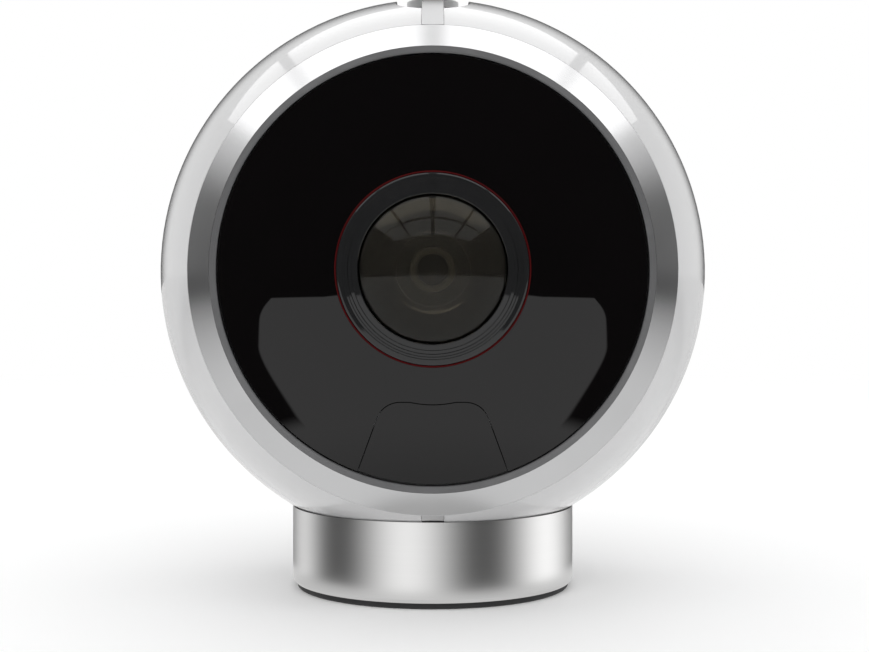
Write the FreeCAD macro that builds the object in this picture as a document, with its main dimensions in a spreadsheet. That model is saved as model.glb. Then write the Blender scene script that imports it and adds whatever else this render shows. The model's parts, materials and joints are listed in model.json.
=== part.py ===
"""Panoramic security camera: a ball with a lens on each side, turning on a round metal base.

Millimetres, +Z up. The front lens looks along -Y. The origin is on the floor under the centre of
the ball, on the axis that the ball turns about.
"""

import FreeCAD, Part
import math
import os

import Sketcher

SIZES = {
    # fits that many pieces share
    "touch_gap": 0.05,
    "seam_gap": 0.05,
    "hole_gap": 0.15,
    # ball
    "ball_radius": 40.0,
    "bezel_margin": 6.76,
    "shell_wall": 1.6,
    "shell_flange": 2.3,
    "strip_width": 3.0,
    "web_height": 17.0,
    "plate_overlap": 1.0,
    "plate_thickness": 3.0,
    # bezel, gasket and face
    "gasket_margin": 10.36,
    "gasket_depth": 1.66,
    "gasket_width": 1.24,
    "gasket_lip": 1.3,
    "gasket_seat_width": 2.44,
    "gasket_proud": 0.18,
    "bezel_seat_width": 2.64,
    "flange_overlap": 0.4,
    "glass_rim_height": 1.44,
    "glass_rise": 6.46,
    "glass_thickness": 1.8,
    # bezel screws
    "screw_inset": 1.34,
    "screw_count": 6,
    "screw_shank": 0.75,
    "screw_head": 1.2,
    "screw_head_depth": 0.9,
    "screw_tip_wall": 0.1,
    "screw_gap": 0.08,
    # lens
    "accent_width": 0.2,
    "accent_depth": 1.6,
    "accent_proud": 0.1,
    "barrel_proud": 0.8,
    "barrel_chamfer": 0.5,
    "barrel_neck": 11.0,
    "barrel_tail_gap": 0.2,
    "face_width": 0.95,
    "face_slope": 0.176,
    "dome_edge": 9.4,
    "dome_rim_width": 1.0,
    "dome_rim_thickness": 0.8,
    "dome_step": 2.2,
    "dome_depth": 2.55,
    "dome_curve": 12.5,
    "dome_wall": 1.6,
    "retainer_width": 1.5,
    "retainer_chamfer": 0.45,
    "second_lens_radius": 8.9,
    "second_lens_edge": 2.4,
    "second_lens_height": 4.6,
    "second_lens_depth": 5.8,
    "small_lens_radius": 5.1,
    "small_lens_edge": 1.6,
    "small_lens_height": 2.6,
    "small_lens_gap": 0.1,
    "mount_wall": 3.45,
    "mount_height": 11.4,
    # boards
    "board_gap": 2.0,
    "board_spacing": 3.9,
    "board_thickness": 1.6,
    "board_half": 17.0,
    "main_board_half": 21.0,
    "standoff_circle": 19.1,
    "standoff_foot": 3.0,
    "standoff_radius": 2.2,
    "standoff_gap": 0.4,
    "board_screw_shank": 0.95,
    "board_screw_head": 1.8,
    "board_screw_head_depth": 1.1,
    "board_screw_length": 5.2,
    "board_screw_gap": 0.05,
    "board_screw_room": 2.4,
    "sensor_half": 5.0,
    "sensor_thickness": 1.4,
    "processor_half": 7.0,
    "coil_radius": 4.0,
    "coil_height": 3.0,
    "coil_offset": 5.5,
    "flex_half": 5.0,
    "flex_thickness": 0.25,
    "flex_inset": 0.55,
    # top recess and grilles
    "recess_half_width": 5.24,
    "recess_half_length": 16.6,
    "grille_margin": 1.2,
    "grille_thickness": 1.4,
    "sound_hole": 0.45,
    "sound_hole_offset": 3.5,
    "sound_hole_first": 6.5,
    "sound_hole_pitch": 2.4,
    "sound_hole_count": 4,
    # button and switch
    "button_radius": 3.82,
    "button_rise": 0.14,
    "button_crown": 0.24,
    "button_thickness": 1.29,
    "button_travel": 0.5,
    "button_spare": 0.39,
    "button_ring_gap": 0.23,
    "guide_wall": 3.0,
    "guide_height": 3.8,
    "guide_gap": 0.2,
    "stem_radius": 1.5,
    "stem_gap": 0.05,
    "clip_width": 0.9,
    "clip_thickness": 0.4,
    "clip_gap": 0.1,
    "window_half": 4.5,
    "window_height": 4.9,
    "switch_half_width": 1.4,
    "switch_half_length": 3.5,
    "switch_gap": 0.3,
    "plunger_radius": 1.0,
    "plunger_length": 2.2,
    "plunger_gap": 0.1,
    "plunger_room": 0.1,
    # speaker, microphones and aerials
    "speaker_half_length": 7.0,
    "speaker_width": 7.0,
    "speaker_height": 3.5,
    "mic_width": 4.0,
    "mic_half_length": 1.5,
    "mic_height": 1.2,
    "mic_offset": 9.0,
    "antenna_half_length": 6.0,
    "antenna_half_height": 3.0,
    "antenna_thickness": 0.6,
    # arch-shaped face of the drawer, tray, card and reader
    "arch_height": 11.2,
    "arch_dip": 0.33,
    "arch_dip_half": 2.97,
    "arch_flat_half": 4.2,
    "arch_corner": 3.3,
    "arch_side_slope": 0.3685,
    "arch_gap": 0.12,
    "tray_half_width": 7.0,
    "tray_thickness": 2.6,
    "tray_end_gap": 0.35,
    "tray_bite": 0.12,
    "card_half_width": 5.5,
    "card_length": 15.0,
    "card_thickness": 0.75,
    "card_gap": 0.1,
    "card_margin": 0.5,
    "reader_gap": 0.15,
    "reader_wall": 0.65,
    "reader_floor": 0.6,
    "reader_back_gap": 0.15,
    "reader_length": 14.85,
    # swivel
    "flat_lip": 0.31,
    "hub_radius": 9.9,
    "hub_gap": 0.15,
    "hub_height": 8.2,
    "hub_flange_width": 2.6,
    "hub_flange_thickness": 2.0,
    "hub_screw_inset": 1.3,
    "hub_screw_head": 1.1,
    "hub_screw_shank": 0.75,
    "hub_screw_head_depth": 1.1,
    "hub_screw_tip_wall": 0.35,
    "head_room": 0.5,
    "washer_room": 0.8,
    "post_radius": 4.5,
    "post_foot": 5.2,
    "post_foot_inset": 0.05,
    "post_flange_width": 0.7,
    "post_end": 0.61,
    "groove_depth": 0.6,
    "bush_gap": 0.05,
    "bush_wall": 1.05,
    "bush_flange_width": 1.6,
    "bush_flange_thickness": 0.8,
    "bush_seat": 1.0,
    "washer_width": 2.45,
    "washer_thickness": 0.5,
    "spring_washer_thickness": 0.8,
    "clip_ring_width": 1.5,
    "clip_ring_thickness": 0.8,
    "slip_ring_width": 1.25,
    "slip_ring_thickness": 0.75,
    "tripod_bore": 2.55,
    "tripod_depth": 6.5,
    # base
    "base_radius": 20.74,
    "base_chamfer_width": 0.32,
    "base_chamfer_height": 0.52,
    "base_wall": 2.74,
    "base_plate_seat": 0.8,
    "base_plate_thickness": 1.2,
    "foot_thickness": 0.88,
    "foot_inset": 0.64,
    "foot_hole": 3.6,
    "cup_gap": 0.15,
    "cup_wall": 1.5,
    "boss_inset": 3.1,
    "boss_radius": 3.0,
    "boss_tip_radius": 2.0,
    "boss_bore": 0.95,
    "boss_skin": 0.4,
    "plate_screw_count": 3,
    "plate_screw_shank": 0.9,
    "plate_screw_head": 1.8,
    "plate_screw_head_depth": 0.9,
    "plate_screw_length": 4.2,
    "base_board_gap": 0.19,
    "base_board_thickness": 1.0,
    "base_board_inset": 0.4,
    "base_board_room": 0.3,
    "pin_count": 4,
    "pin_radius": 0.45,
    "pin_carrier_height": 2.28,
    "pin_carrier_width": 1.75,
    "pin_carrier_gap": 0.4,
    "socket_half_width": 4.47,
    "socket_half_height": 1.63,
    "socket_wall": 0.3,
    "socket_inset": 0.04,
    "socket_length": 7.3,
    "socket_gap": 0.17,
    "tongue_half_width": 3.35,
    "tongue_half_height": 0.35,
    "tongue_inset": 0.8,
}

document = FreeCAD.newDocument("camera")
sheet = document.addObject("Spreadsheet::Sheet", "Sizes")
for row, (alias, number) in enumerate(SIZES.items(), start=1):
    sheet.set(f"A{row}", alias)
    sheet.set(f"B{row}", str(number))
    sheet.setAlias(f"B{row}", alias)
document.recompute()


class Size:
    """A length of the model: its value now, and the sheet formula that gives it."""

    def __init__(self, value, formula):
        self.value = float(value)
        self.formula = formula

    @staticmethod
    def of(item):
        """Return item as a Size; a bare number becomes a constant formula."""
        if isinstance(item, Size):
            return item
        return Size(item, f"({float(item)!r})")

    def __add__(self, other):
        other = Size.of(other)
        return Size(self.value + other.value, f"({self.formula} + {other.formula})")

    def __sub__(self, other):
        other = Size.of(other)
        return Size(self.value - other.value, f"({self.formula} - {other.formula})")

    def __mul__(self, other):
        other = Size.of(other)
        return Size(self.value * other.value, f"({self.formula} * {other.formula})")

    def __truediv__(self, other):
        other = Size.of(other)
        return Size(self.value / other.value, f"({self.formula} / {other.formula})")

    def __neg__(self):
        return Size(0, "0") - self

    def __radd__(self, other):
        return Size.of(other) + self

    def __rsub__(self, other):
        return Size.of(other) - self

    def __rmul__(self, other):
        return Size.of(other) * self


def root(size):
    """Square root of a Size."""
    return Size(math.sqrt(size.value), f"sqrt({size.formula})")


def arc_height(radius, across):
    """Height above its centre of a circle of the given radius, at a distance across."""
    return root(radius * radius - across * across)


def cap_radius(edge, rise):
    """Radius of the sphere whose cap has the given edge radius and rise."""
    return (edge * edge + rise * rise) / (rise * 2.0)


class Sheet:
    """Each cell of the sheet as a Size, by its alias."""

    def __getattr__(self, alias):
        return Size(getattr(sheet, alias), f"Sizes.{alias}")


class Arc:
    """The side of an outline that arrives at the next corner as part of a circle."""

    def __init__(self, radius, centre_u=0.0, centre_v=0.0):
        self.radius = Size.of(radius)
        self.centre = (Size.of(centre_u).value, Size.of(centre_v).value)


s = Sheet()
FRONT = "front"
REAR = "rear"
SIDES = (FRONT, REAR)
TINY = 1e-9

# Distances that several pieces share. Forward means from the ball centre towards a lens.
half_strip = s.strip_width / 2
shell_inside = s.ball_radius - s.shell_wall
bezel_edge = s.ball_radius - s.bezel_margin
bezel_back = arc_height(s.ball_radius, bezel_edge)
gasket_edge = s.ball_radius - s.gasket_margin
gasket_top = arc_height(s.ball_radius, gasket_edge)
shell_end = bezel_back - s.seam_gap
flange_back = shell_end - s.shell_flange
gasket_seat = gasket_top - s.gasket_depth
glass_seat = gasket_seat + s.gasket_lip
glass_edge = gasket_edge - s.gasket_width - s.touch_gap
bezel_bore = gasket_edge - s.bezel_seat_width
gasket_bore = gasket_edge - s.gasket_seat_width
flange_bore = bezel_bore - s.flange_overlap
screw_circle = gasket_edge - s.screw_inset
bezel_screw_seat = gasket_seat - s.touch_gap - s.screw_head_depth
bezel_screw_tip = flange_back + s.screw_tip_wall
web_inner = s.ball_radius - s.web_height
plate_half = web_inner + s.plate_overlap

# The domed face and the lens, from the front towards the ball centre.
glass_rim = glass_seat + s.glass_rim_height
glass_curve = cap_radius(glass_edge, s.glass_rise)
glass_centre = glass_rim + s.glass_rise - glass_curve
glass_inside = glass_curve - s.glass_thickness
dome_rim = s.dome_edge + s.dome_rim_width
retainer_radius = s.dome_edge + s.retainer_width
barrel_step = retainer_radius + s.touch_gap
barrel_radius = barrel_step + s.face_width + s.barrel_chamfer
glass_hole = barrel_radius + s.accent_width + s.touch_gap * 2
glass_at_hole = glass_centre + arc_height(glass_curve, glass_hole)
barrel_front = glass_at_hole + s.barrel_proud
barrel_corner = barrel_front - s.face_width * s.face_slope
dome_seat = barrel_front - s.dome_depth
dome_rim_top = dome_seat + s.dome_rim_thickness
dome_centre = dome_seat + s.dome_step - arc_height(s.dome_curve, s.dome_edge)
second_lens = dome_seat - s.second_lens_depth
barrel_bore = s.small_lens_radius + s.small_lens_gap

# The boards, from the mid plate forward.
plate_face = s.plate_thickness / 2
main_board_seat = plate_face + s.board_gap
main_board_front = main_board_seat + s.board_thickness
camera_board_seat = main_board_front + s.board_spacing
camera_board_front = camera_board_seat + s.board_thickness
standoff_side = s.standoff_circle / root(Size.of(2))
board_screw_tip = camera_board_front - s.board_screw_length
board_screw_bore_end = board_screw_tip - s.board_screw_room
flex_outside = s.board_half - s.flex_inset
flex_inside = flex_outside - s.flex_thickness
barrel_tail = camera_board_front + s.sensor_thickness + s.barrel_tail_gap
barrel_shoulder = camera_board_front + s.mount_height
lens_space = (second_lens - barrel_tail - s.small_lens_height * 2) / 3
fourth_lens = barrel_tail + lens_space
third_lens = fourth_lens + s.small_lens_height + lens_space
mount_radius = s.barrel_neck + s.touch_gap + s.mount_wall

# The card drawer. Its tray lies just above the lower web.
arch_top = glass_edge - s.arch_height
tray_bottom = web_inner - s.touch_gap - s.reader_floor - s.reader_gap
tray_top = tray_bottom - s.tray_thickness
reader_back = camera_board_front + s.reader_back_gap
reader_front = reader_back + s.reader_length
tray_back = reader_back + s.reader_wall + s.tray_end_gap
tray_front = glass_centre + arc_height(glass_inside, tray_top) + s.tray_bite
card_back = tray_back + s.card_margin
card_slot = s.card_half_width + s.card_gap
card_floor = tray_top + s.card_thickness + s.card_gap

# The button and its switch, from the top of the ball down.
button_rim = s.ball_radius + s.button_rise
button_under = button_rim - s.button_thickness
guide_top = button_under - s.button_travel - s.button_spare
guide_bottom = guide_top - s.guide_height
guide_radius = s.stem_radius + s.stem_gap + s.guide_wall
clip_radius = s.stem_radius + s.clip_width
clip_top = guide_bottom - s.clip_gap
clip_bottom = clip_top - s.clip_thickness
stem_end = clip_bottom - s.touch_gap
plunger_top = stem_end - s.touch_gap
plunger_bottom = plunger_top - s.plunger_length
window_bottom = guide_bottom - s.window_height
switch_top = clip_bottom - s.button_travel - s.switch_gap

# The swivel, as drops below the ball centre.
post_flange = s.post_foot + s.post_flange_width
pin_carrier_inner = post_flange + s.pin_carrier_gap
pin_carrier_outer = pin_carrier_inner + s.pin_carrier_width
pin_circle = (pin_carrier_inner + pin_carrier_outer) / 2
slip_ring_inner = pin_circle - s.slip_ring_width / 2
slip_ring_outer = pin_circle + s.slip_ring_width / 2
flat_radius = slip_ring_outer + s.touch_gap + s.flat_lip
flat_drop = arc_height(s.ball_radius, flat_radius)
shell_hole = s.hub_radius + s.hub_gap
hub_flange_drop = flat_drop - s.hub_height
hub_top_drop = hub_flange_drop - s.hub_flange_thickness
hub_flange_radius = s.hub_radius + s.hub_flange_width
hub_screw_circle = hub_flange_radius - s.hub_screw_inset
hub_screw_seat = web_inner + s.touch_gap + s.hub_screw_head_depth
hub_screw_tip = hub_flange_drop - s.hub_screw_tip_wall
post_hole = s.post_radius + s.bush_gap
bush_outside = post_hole + s.bush_wall
bush_flange_radius = bush_outside + s.bush_flange_width
bush_seat_drop = hub_top_drop + s.bush_seat
bush_top_drop = bush_seat_drop - s.bush_flange_thickness
washer_radius = post_hole + s.washer_width
washer_drop = bush_top_drop - s.touch_gap
spring_washer_drop = washer_drop - s.washer_thickness
clip_ring_drop = spring_washer_drop - s.spring_washer_thickness
clip_ring_radius = s.post_radius + s.clip_ring_width
post_top_drop = clip_ring_drop - s.clip_ring_thickness - s.post_end
well_drop = post_top_drop - s.head_room
well_radius = washer_radius + s.washer_room

# The base, as heights above the floor; the ball's height follows from it.
base_plate_top = s.foot_thickness + s.base_plate_thickness
base_board_bottom = base_plate_top + s.base_board_gap
base_board_top = base_board_bottom + s.base_board_thickness
cup_under = base_board_top + s.pin_carrier_height
cup_floor = cup_under + s.cup_wall
ball_bottom = cup_floor + s.cup_gap
ball_height = ball_bottom + flat_drop
cup_radius = s.ball_radius + s.cup_gap
base_wall_bore = s.base_radius - s.base_wall
base_plate_radius = base_wall_bore + s.base_plate_seat
base_board_radius = base_wall_bore - s.base_board_inset
base_board_bore = post_flange + s.base_board_room
base_plate_hole = s.post_foot + s.touch_gap
foot_radius = s.base_radius - s.foot_inset
boss_circle = base_board_radius - s.boss_inset
boss_side = boss_circle - s.boss_radius
boss_root = ball_height - arc_height(cup_radius, boss_side) - s.boss_skin
boss_hole_top = s.foot_thickness + s.plate_screw_length + s.touch_gap
socket_height = base_board_top + s.socket_half_height
socket_mouth = arc_height(s.base_radius, s.socket_half_width) - s.socket_inset


def bind(item, name, size):
    """Tie a property to the sheet."""
    item.setExpression(name, Size.of(size).formula)


def new_body(label, centre=None, side=REAR):
    """An empty body; its own +Y looks forward through the lens of the side that it is on."""
    body = document.addObject("PartDesign::Body", label)
    body.Label = label
    turn = 180.0 if side == FRONT else 0.0
    body.Placement = FreeCAD.Placement(
        FreeCAD.Vector(0, 0, 0), FreeCAD.Rotation(FreeCAD.Vector(0, 0, 1), turn))
    if centre is not None:
        bind(body, "Placement.Base.z", centre)
    return body


def ball_body(label, side=REAR):
    """An empty body whose origin is the ball centre."""
    return new_body(label, ball_height, side)


def origin_item(body, role):
    """A plane or axis of the body's own origin."""
    return next(item for item in body.Origin.OriginFeatures if item.Role == role)


def sketch_on(body, role, offset=None):
    """A sketch on one of the body's origin planes, moved along the plane's normal by offset."""
    sketch = body.newObject("Sketcher::SketchObject", body.Label + "_sketch")
    sketch.AttachmentSupport = [(origin_item(body, role), "")]
    sketch.MapMode = "FlatFace"
    if offset is not None:
        bind(sketch, "AttachmentOffset.Base.z", offset)
    return sketch


def hold(sketch, kind, place, size):
    """A dimension of the sketch, tied to the sheet."""
    size = Size.of(size)
    number = sketch.addConstraint(Sketcher.Constraint(kind, *place, size.value))
    sketch.setExpression(f"Constraints[{number}]", size.formula)


def pin_corner(sketch, edge, end, corner):
    """Fix one end of an edge by its distances from the sketch's origin."""
    for kind, axis, size in (("DistanceX", -2, corner[0]), ("DistanceY", -1, corner[1])):
        size = Size.of(size)
        if abs(size.value) < TINY:
            sketch.addConstraint(Sketcher.Constraint("PointOnObject", edge, end, axis))
        else:
            hold(sketch, kind, (-1, 1, edge, end), size)


def draw(sketch, steps):
    """A closed outline: corners (u, v) in order, with an Arc before a corner that it leads to."""
    corners = []
    bends = []
    bend = None
    for step in steps:
        if isinstance(step, Arc):
            bend = step
        else:
            corners.append((Size.of(step[0]), Size.of(step[1])))
            bends.append(bend)
            bend = None
    bends[0] = bend or bends[0]
    ends = []
    for number, arc in enumerate(bends):
        start, stop = corners[number - 1], corners[number]
        first = FreeCAD.Vector(start[0].value, start[1].value, 0)
        last = FreeCAD.Vector(stop[0].value, stop[1].value, 0)
        if arc is None:
            edge = sketch.addGeometry(Part.LineSegment(first, last), False)
            ends.append((edge, 1, 2))
            continue
        centre = FreeCAD.Vector(*arc.centre, 0)
        turns = [math.atan2(point.y - centre.y, point.x - centre.x) for point in (first, last)]
        forward = (turns[1] - turns[0]) % (2 * math.pi) < math.pi
        circle = Part.Circle(centre, FreeCAD.Vector(0, 0, 1), arc.radius.value)
        span = turns if forward else turns[::-1]
        edge = sketch.addGeometry(Part.ArcOfCircle(circle, *span), False)
        ends.append((edge, 1, 2) if forward else (edge, 2, 1))
        hold(sketch, "Radius", (edge,), arc.radius)
    for number, (edge, _, end) in enumerate(ends):
        following, start, _ = ends[(number + 1) % len(ends)]
        sketch.addConstraint(Sketcher.Constraint("Coincident", edge, end, following, start))
        pin_corner(sketch, edge, end, corners[number])


def circle_on(sketch, u, v, radius):
    """A full circle of the sketch."""
    u, v, radius = Size.of(u), Size.of(v), Size.of(radius)
    centre = FreeCAD.Vector(u.value, v.value, 0)
    edge = sketch.addGeometry(Part.Circle(centre, FreeCAD.Vector(0, 0, 1), radius.value), False)
    pin_corner(sketch, edge, 3, (u, v))
    hold(sketch, "Radius", (edge,), radius)


def box_outline(low_u, low_v, high_u, high_v):
    """The four corners of a rectangle."""
    return [(low_u, low_v), (high_u, low_v), (high_u, high_v), (low_u, high_v)]


def round_ended(half_width, half_length):
    """An outline with straight sides along v and half-round ends."""
    straight = half_length - half_width
    return [
        (half_width, -straight),
        (half_width, straight),
        Arc(half_width, 0, straight), (Size.of(0), half_length),
        Arc(half_width, 0, straight), (-half_width, straight),
        (-half_width, -straight),
        Arc(half_width, 0, -straight), (Size.of(0), -half_length),
        Arc(half_width, 0, -straight),
    ]


def axis_line(sketch, height):
    """A construction line along u at a height, to turn an outline about."""
    height = Size.of(height)
    start = FreeCAD.Vector(-1, height.value, 0)
    stop = FreeCAD.Vector(1, height.value, 0)
    edge = sketch.addGeometry(Part.LineSegment(start, stop), True)
    pin_corner(sketch, edge, 1, (-1.0, height))
    pin_corner(sketch, edge, 2, (1.0, height))


def upright_axis(sketch, distance):
    """A construction line along v at a distance from the sketch's origin, to turn about."""
    start = FreeCAD.Vector(distance.value, 0, 0)
    stop = FreeCAD.Vector(distance.value, 1, 0)
    edge = sketch.addGeometry(Part.LineSegment(start, stop), True)
    pin_corner(sketch, edge, 1, (distance, 0.0))
    pin_corner(sketch, edge, 2, (distance, 1.0))


def finish_feature(body, feature):
    """Recompute and make the feature the body's last one."""
    body.Tip = feature
    document.recompute()
    return feature


def turned(body, sketch, axis="Axis0"):
    """A full Revolution about an axis of the sketch."""
    feature = body.newObject("PartDesign::Revolution", body.Label + "_turned")
    feature.Profile = sketch
    feature.ReferenceAxis = (sketch, [axis])
    feature.Angle = 360.0
    return finish_feature(body, feature)


def grooved(body, sketch, axis="Axis0"):
    """A full Groove about an axis of the sketch."""
    feature = body.newObject("PartDesign::Groove", body.Label + "_groove")
    feature.Profile = sketch
    feature.ReferenceAxis = (sketch, [axis])
    feature.Angle = 360.0
    return finish_feature(body, feature)


def check_removed(body, before):
    """Stop where a cut left the body's volume as it was."""
    if body.Shape.Volume > before - TINY:
        raise ValueError(f"{body.Label}: a cut removed nothing")


def padded(body, sketch, length, symmetric=False):
    """A Pad along the sketch's normal, or half of it to each side."""
    feature = body.newObject("PartDesign::Pad", body.Label + "_pad")
    feature.Profile = sketch
    feature.SideType = "Symmetric" if symmetric else "One side"
    bind(feature, "Length", length)
    return finish_feature(body, feature)


def pocketed(body, sketch, length=None, symmetric=False, along_normal=False):
    """A Pocket, through everything where no length is given; it has to remove material."""
    before = body.Shape.Volume
    feature = body.newObject("PartDesign::Pocket", body.Label + "_pocket")
    feature.Profile = sketch
    feature.SideType = "Symmetric" if symmetric else "One side"
    feature.Reversed = along_normal
    if length is None:
        feature.Type = "ThroughAll"
    else:
        bind(feature, "Length", length)
    finish_feature(body, feature)
    check_removed(body, before)
    return feature


def patterned(body, feature, role, count):
    """Copies of a feature, evenly spaced round an axis of the body's origin."""
    pattern = body.newObject("PartDesign::PolarPattern", body.Label + "_pattern")
    pattern.Originals = [feature]
    pattern.Axis = (origin_item(body, role), [""])
    pattern.Angle = 360.0
    bind(pattern, "Occurrences", count)
    return finish_feature(body, pattern)


def ring_y(label, side, steps):
    """A piece turned about the lens axis, from an outline of (forward, radius) corners."""
    body = ball_body(label, side)
    sketch = sketch_on(body, "YZ_Plane")
    draw(sketch, steps)
    turned(body, sketch, "H_Axis")
    return body


def ring_z(label, centre, steps):
    """A piece turned about the upright axis, from an outline of (radius, height) corners."""
    body = new_body(label, centre)
    sketch = sketch_on(body, "XZ_Plane")
    draw(sketch, steps)
    turned(body, sketch, "V_Axis")
    return body


def washer_z(label, centre, bore, radius, bottom, top):
    """A flat ring about the upright axis."""
    return ring_z(label, centre, box_outline(bore, bottom, radius, top))


def block(label, centre, low, high, side=REAR):
    """A box between two corners, in the body's own axes."""
    body = new_body(label, centre, side)
    add_block(body, low, high)
    return body


def add_block(body, low, high):
    """One more box in a body."""
    sketch = sketch_on(body, "XY_Plane", low[2])
    draw(sketch, box_outline(low[0], low[1], high[0], high[1]))
    padded(body, sketch, Size.of(high[2]) - Size.of(low[2]))


def cut_block(body, low, high):
    """A box cut out of a body."""
    sketch = sketch_on(body, "XY_Plane", low[2])
    draw(sketch, box_outline(low[0], low[1], high[0], high[1]))
    pocketed(body, sketch, Size.of(high[2]) - Size.of(low[2]), along_normal=True)


def drilled(body, height, outlines, count):
    """Stepped holes whose axis runs forward at a height, repeated round the lens axis."""
    sketch = sketch_on(body, "YZ_Plane")
    axis_line(sketch, height)
    for steps in outlines:
        draw(sketch, steps)
    before = body.Shape.Volume
    patterned(body, grooved(body, sketch), "Y_Axis", count)
    check_removed(body, before)


def screws_forward(label, height, outlines, count, turn=0.0):
    """Turned pieces whose axis runs forward at a height, repeated round the lens axis."""
    body = ball_body(label)
    body.Placement.Rotation = FreeCAD.Rotation(FreeCAD.Vector(0, 1, 0), turn)
    sketch = sketch_on(body, "YZ_Plane")
    axis_line(sketch, height)
    for steps in outlines:
        draw(sketch, steps)
    patterned(body, turned(body, sketch), "Y_Axis", count)


def upright_holes(body, distance, radius, count, length=None):
    """Round holes along +Z at a distance along -Y, repeated round the upright axis."""
    sketch = sketch_on(body, "XY_Plane")
    circle_on(sketch, 0.0, -distance, radius)
    hole = pocketed(body, sketch, length, along_normal=True)
    patterned(body, hole, "Z_Axis", count)


def mirrored_ends(steps):
    """The same outline of (forward, radius) corners on both sides of the ball centre."""
    return [steps, [(-forward, radius) for forward, radius in steps]]


def socket_outline(grow):
    """The round-ended outline of the power socket, grown by a gap, seen from the rear."""
    height = s.socket_half_height + grow
    width = s.socket_half_width + grow
    straight = width - height
    middle = socket_height
    return [
        (straight, middle + height),
        (-straight, middle + height),
        Arc(height, -straight, middle), (-width, middle),
        Arc(height, -straight, middle), (-straight, middle - height),
        (straight, middle - height),
        Arc(height, straight, middle), (width, middle),
        Arc(height, straight, middle),
    ]


def make_base_housing():
    """The metal cup: wall, hollow seat for the ball, floor, screw bosses and contact holes."""
    reach = cup_radius + s.cup_wall
    centre = ball_height
    recess = base_plate_radius + s.touch_gap
    body = ring_z("base_housing", None, [
        (s.base_radius - s.base_chamfer_width, s.foot_thickness),
        (s.base_radius, s.foot_thickness + s.base_chamfer_height),
        (s.base_radius, centre - arc_height(cup_radius, s.base_radius)),
        Arc(cup_radius, 0, centre), (arc_height(cup_radius, centre - cup_floor), cup_floor),
        (post_hole, cup_floor),
        (post_hole, cup_under),
        (arc_height(reach, centre - cup_under), cup_under),
        Arc(reach, 0, centre), (base_wall_bore, centre - arc_height(reach, base_wall_bore)),
        (base_wall_bore, base_plate_top),
        (recess, base_plate_top),
        (recess, s.foot_thickness),
    ])
    at = -boss_circle
    boss = sketch_on(body, "YZ_Plane")
    upright_axis(boss, at)
    draw(boss, [
        (at, base_plate_top),
        (at + s.boss_tip_radius, base_plate_top),
        (at + s.boss_tip_radius, base_board_top),
        (at + s.boss_radius, base_board_top),
        (at + s.boss_radius, boss_root),
        (at, boss_root),
    ])
    patterned(body, turned(body, boss), "Z_Axis", s.plate_screw_count)
    upright_holes(body, boss_circle, s.boss_bore, s.plate_screw_count, boss_hole_top)
    upright_holes(body, pin_circle, s.pin_radius + s.hole_gap, s.pin_count)
    slot_edge = s.socket_half_width + s.socket_gap
    slot_start = arc_height(base_wall_bore, slot_edge) - s.touch_gap
    wall = sketch_on(body, "XZ_Plane", -slot_start)
    draw(wall, socket_outline(s.socket_gap))
    pocketed(body, wall)


def make_bottom_plate():
    """The rubber foot, the plate above it and the countersunk screws that hold the plate."""
    washer_z("base_foot", None, s.foot_hole, foot_radius, Size.of(0), s.foot_thickness)
    plate = washer_z("base_bottom_plate", None, base_plate_hole, base_plate_radius,
                     s.foot_thickness, base_plate_top)
    at = -boss_circle
    head_top = s.foot_thickness + s.plate_screw_head_depth
    sketch = sketch_on(plate, "YZ_Plane")
    upright_axis(sketch, at)
    draw(sketch, [
        (at, s.foot_thickness),
        (at + s.plate_screw_head + s.screw_gap, s.foot_thickness),
        (at + s.plate_screw_shank + s.screw_gap, head_top),
        (at + s.plate_screw_shank + s.screw_gap, base_plate_top),
        (at, base_plate_top),
    ])
    patterned(plate, grooved(plate, sketch), "Z_Axis", s.plate_screw_count)
    screws = new_body("plate_screws")
    tip = s.foot_thickness + s.plate_screw_length
    sketch = sketch_on(screws, "YZ_Plane")
    upright_axis(sketch, at)
    draw(sketch, [
        (at, s.foot_thickness),
        (at + s.plate_screw_head, s.foot_thickness),
        (at + s.plate_screw_shank, head_top),
        (at + s.plate_screw_shank, tip),
        (at, tip),
    ])
    patterned(screws, turned(screws, sketch), "Z_Axis", s.plate_screw_count)


def make_base_board():
    """The board in the base, the contact pins that press on the slip ring, and their carrier."""
    board = washer_z("base_board", None, base_board_bore, base_board_radius,
                     base_board_bottom, base_board_top)
    upright_holes(board, boss_circle, s.boss_tip_radius + s.hole_gap, s.plate_screw_count)
    carrier = washer_z("pin_carrier", None, pin_carrier_inner, pin_carrier_outer,
                       base_board_top, cup_under - s.touch_gap)
    upright_holes(carrier, pin_circle, s.pin_radius + s.touch_gap, s.pin_count)
    pins = new_body("contact_pins")
    sketch = sketch_on(pins, "XY_Plane", base_board_top)
    circle_on(sketch, 0.0, -pin_circle, s.pin_radius)
    pin = padded(pins, sketch, ball_bottom - s.touch_gap - base_board_top)
    patterned(pins, pin, "Z_Axis", s.pin_count)


def make_power_socket():
    """The power inlet in the rear wall: a thin round-ended shell with a tongue inside."""
    body = new_body("power_socket")
    sketch = sketch_on(body, "XZ_Plane", -socket_mouth)
    draw(sketch, socket_outline(Size.of(0)))
    padded(body, sketch, s.socket_length)
    sketch = sketch_on(body, "XZ_Plane", -socket_mouth)
    draw(sketch, socket_outline(-s.socket_wall))
    pocketed(body, sketch, s.socket_length - s.socket_wall * 2, along_normal=True)
    sketch = sketch_on(body, "XZ_Plane", s.tongue_inset - socket_mouth)
    draw(sketch, box_outline(
        -s.tongue_half_width, socket_height - s.tongue_half_height,
        s.tongue_half_width, socket_height + s.tongue_half_height))
    padded(body, sketch, s.socket_length - s.tongue_inset)


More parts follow.
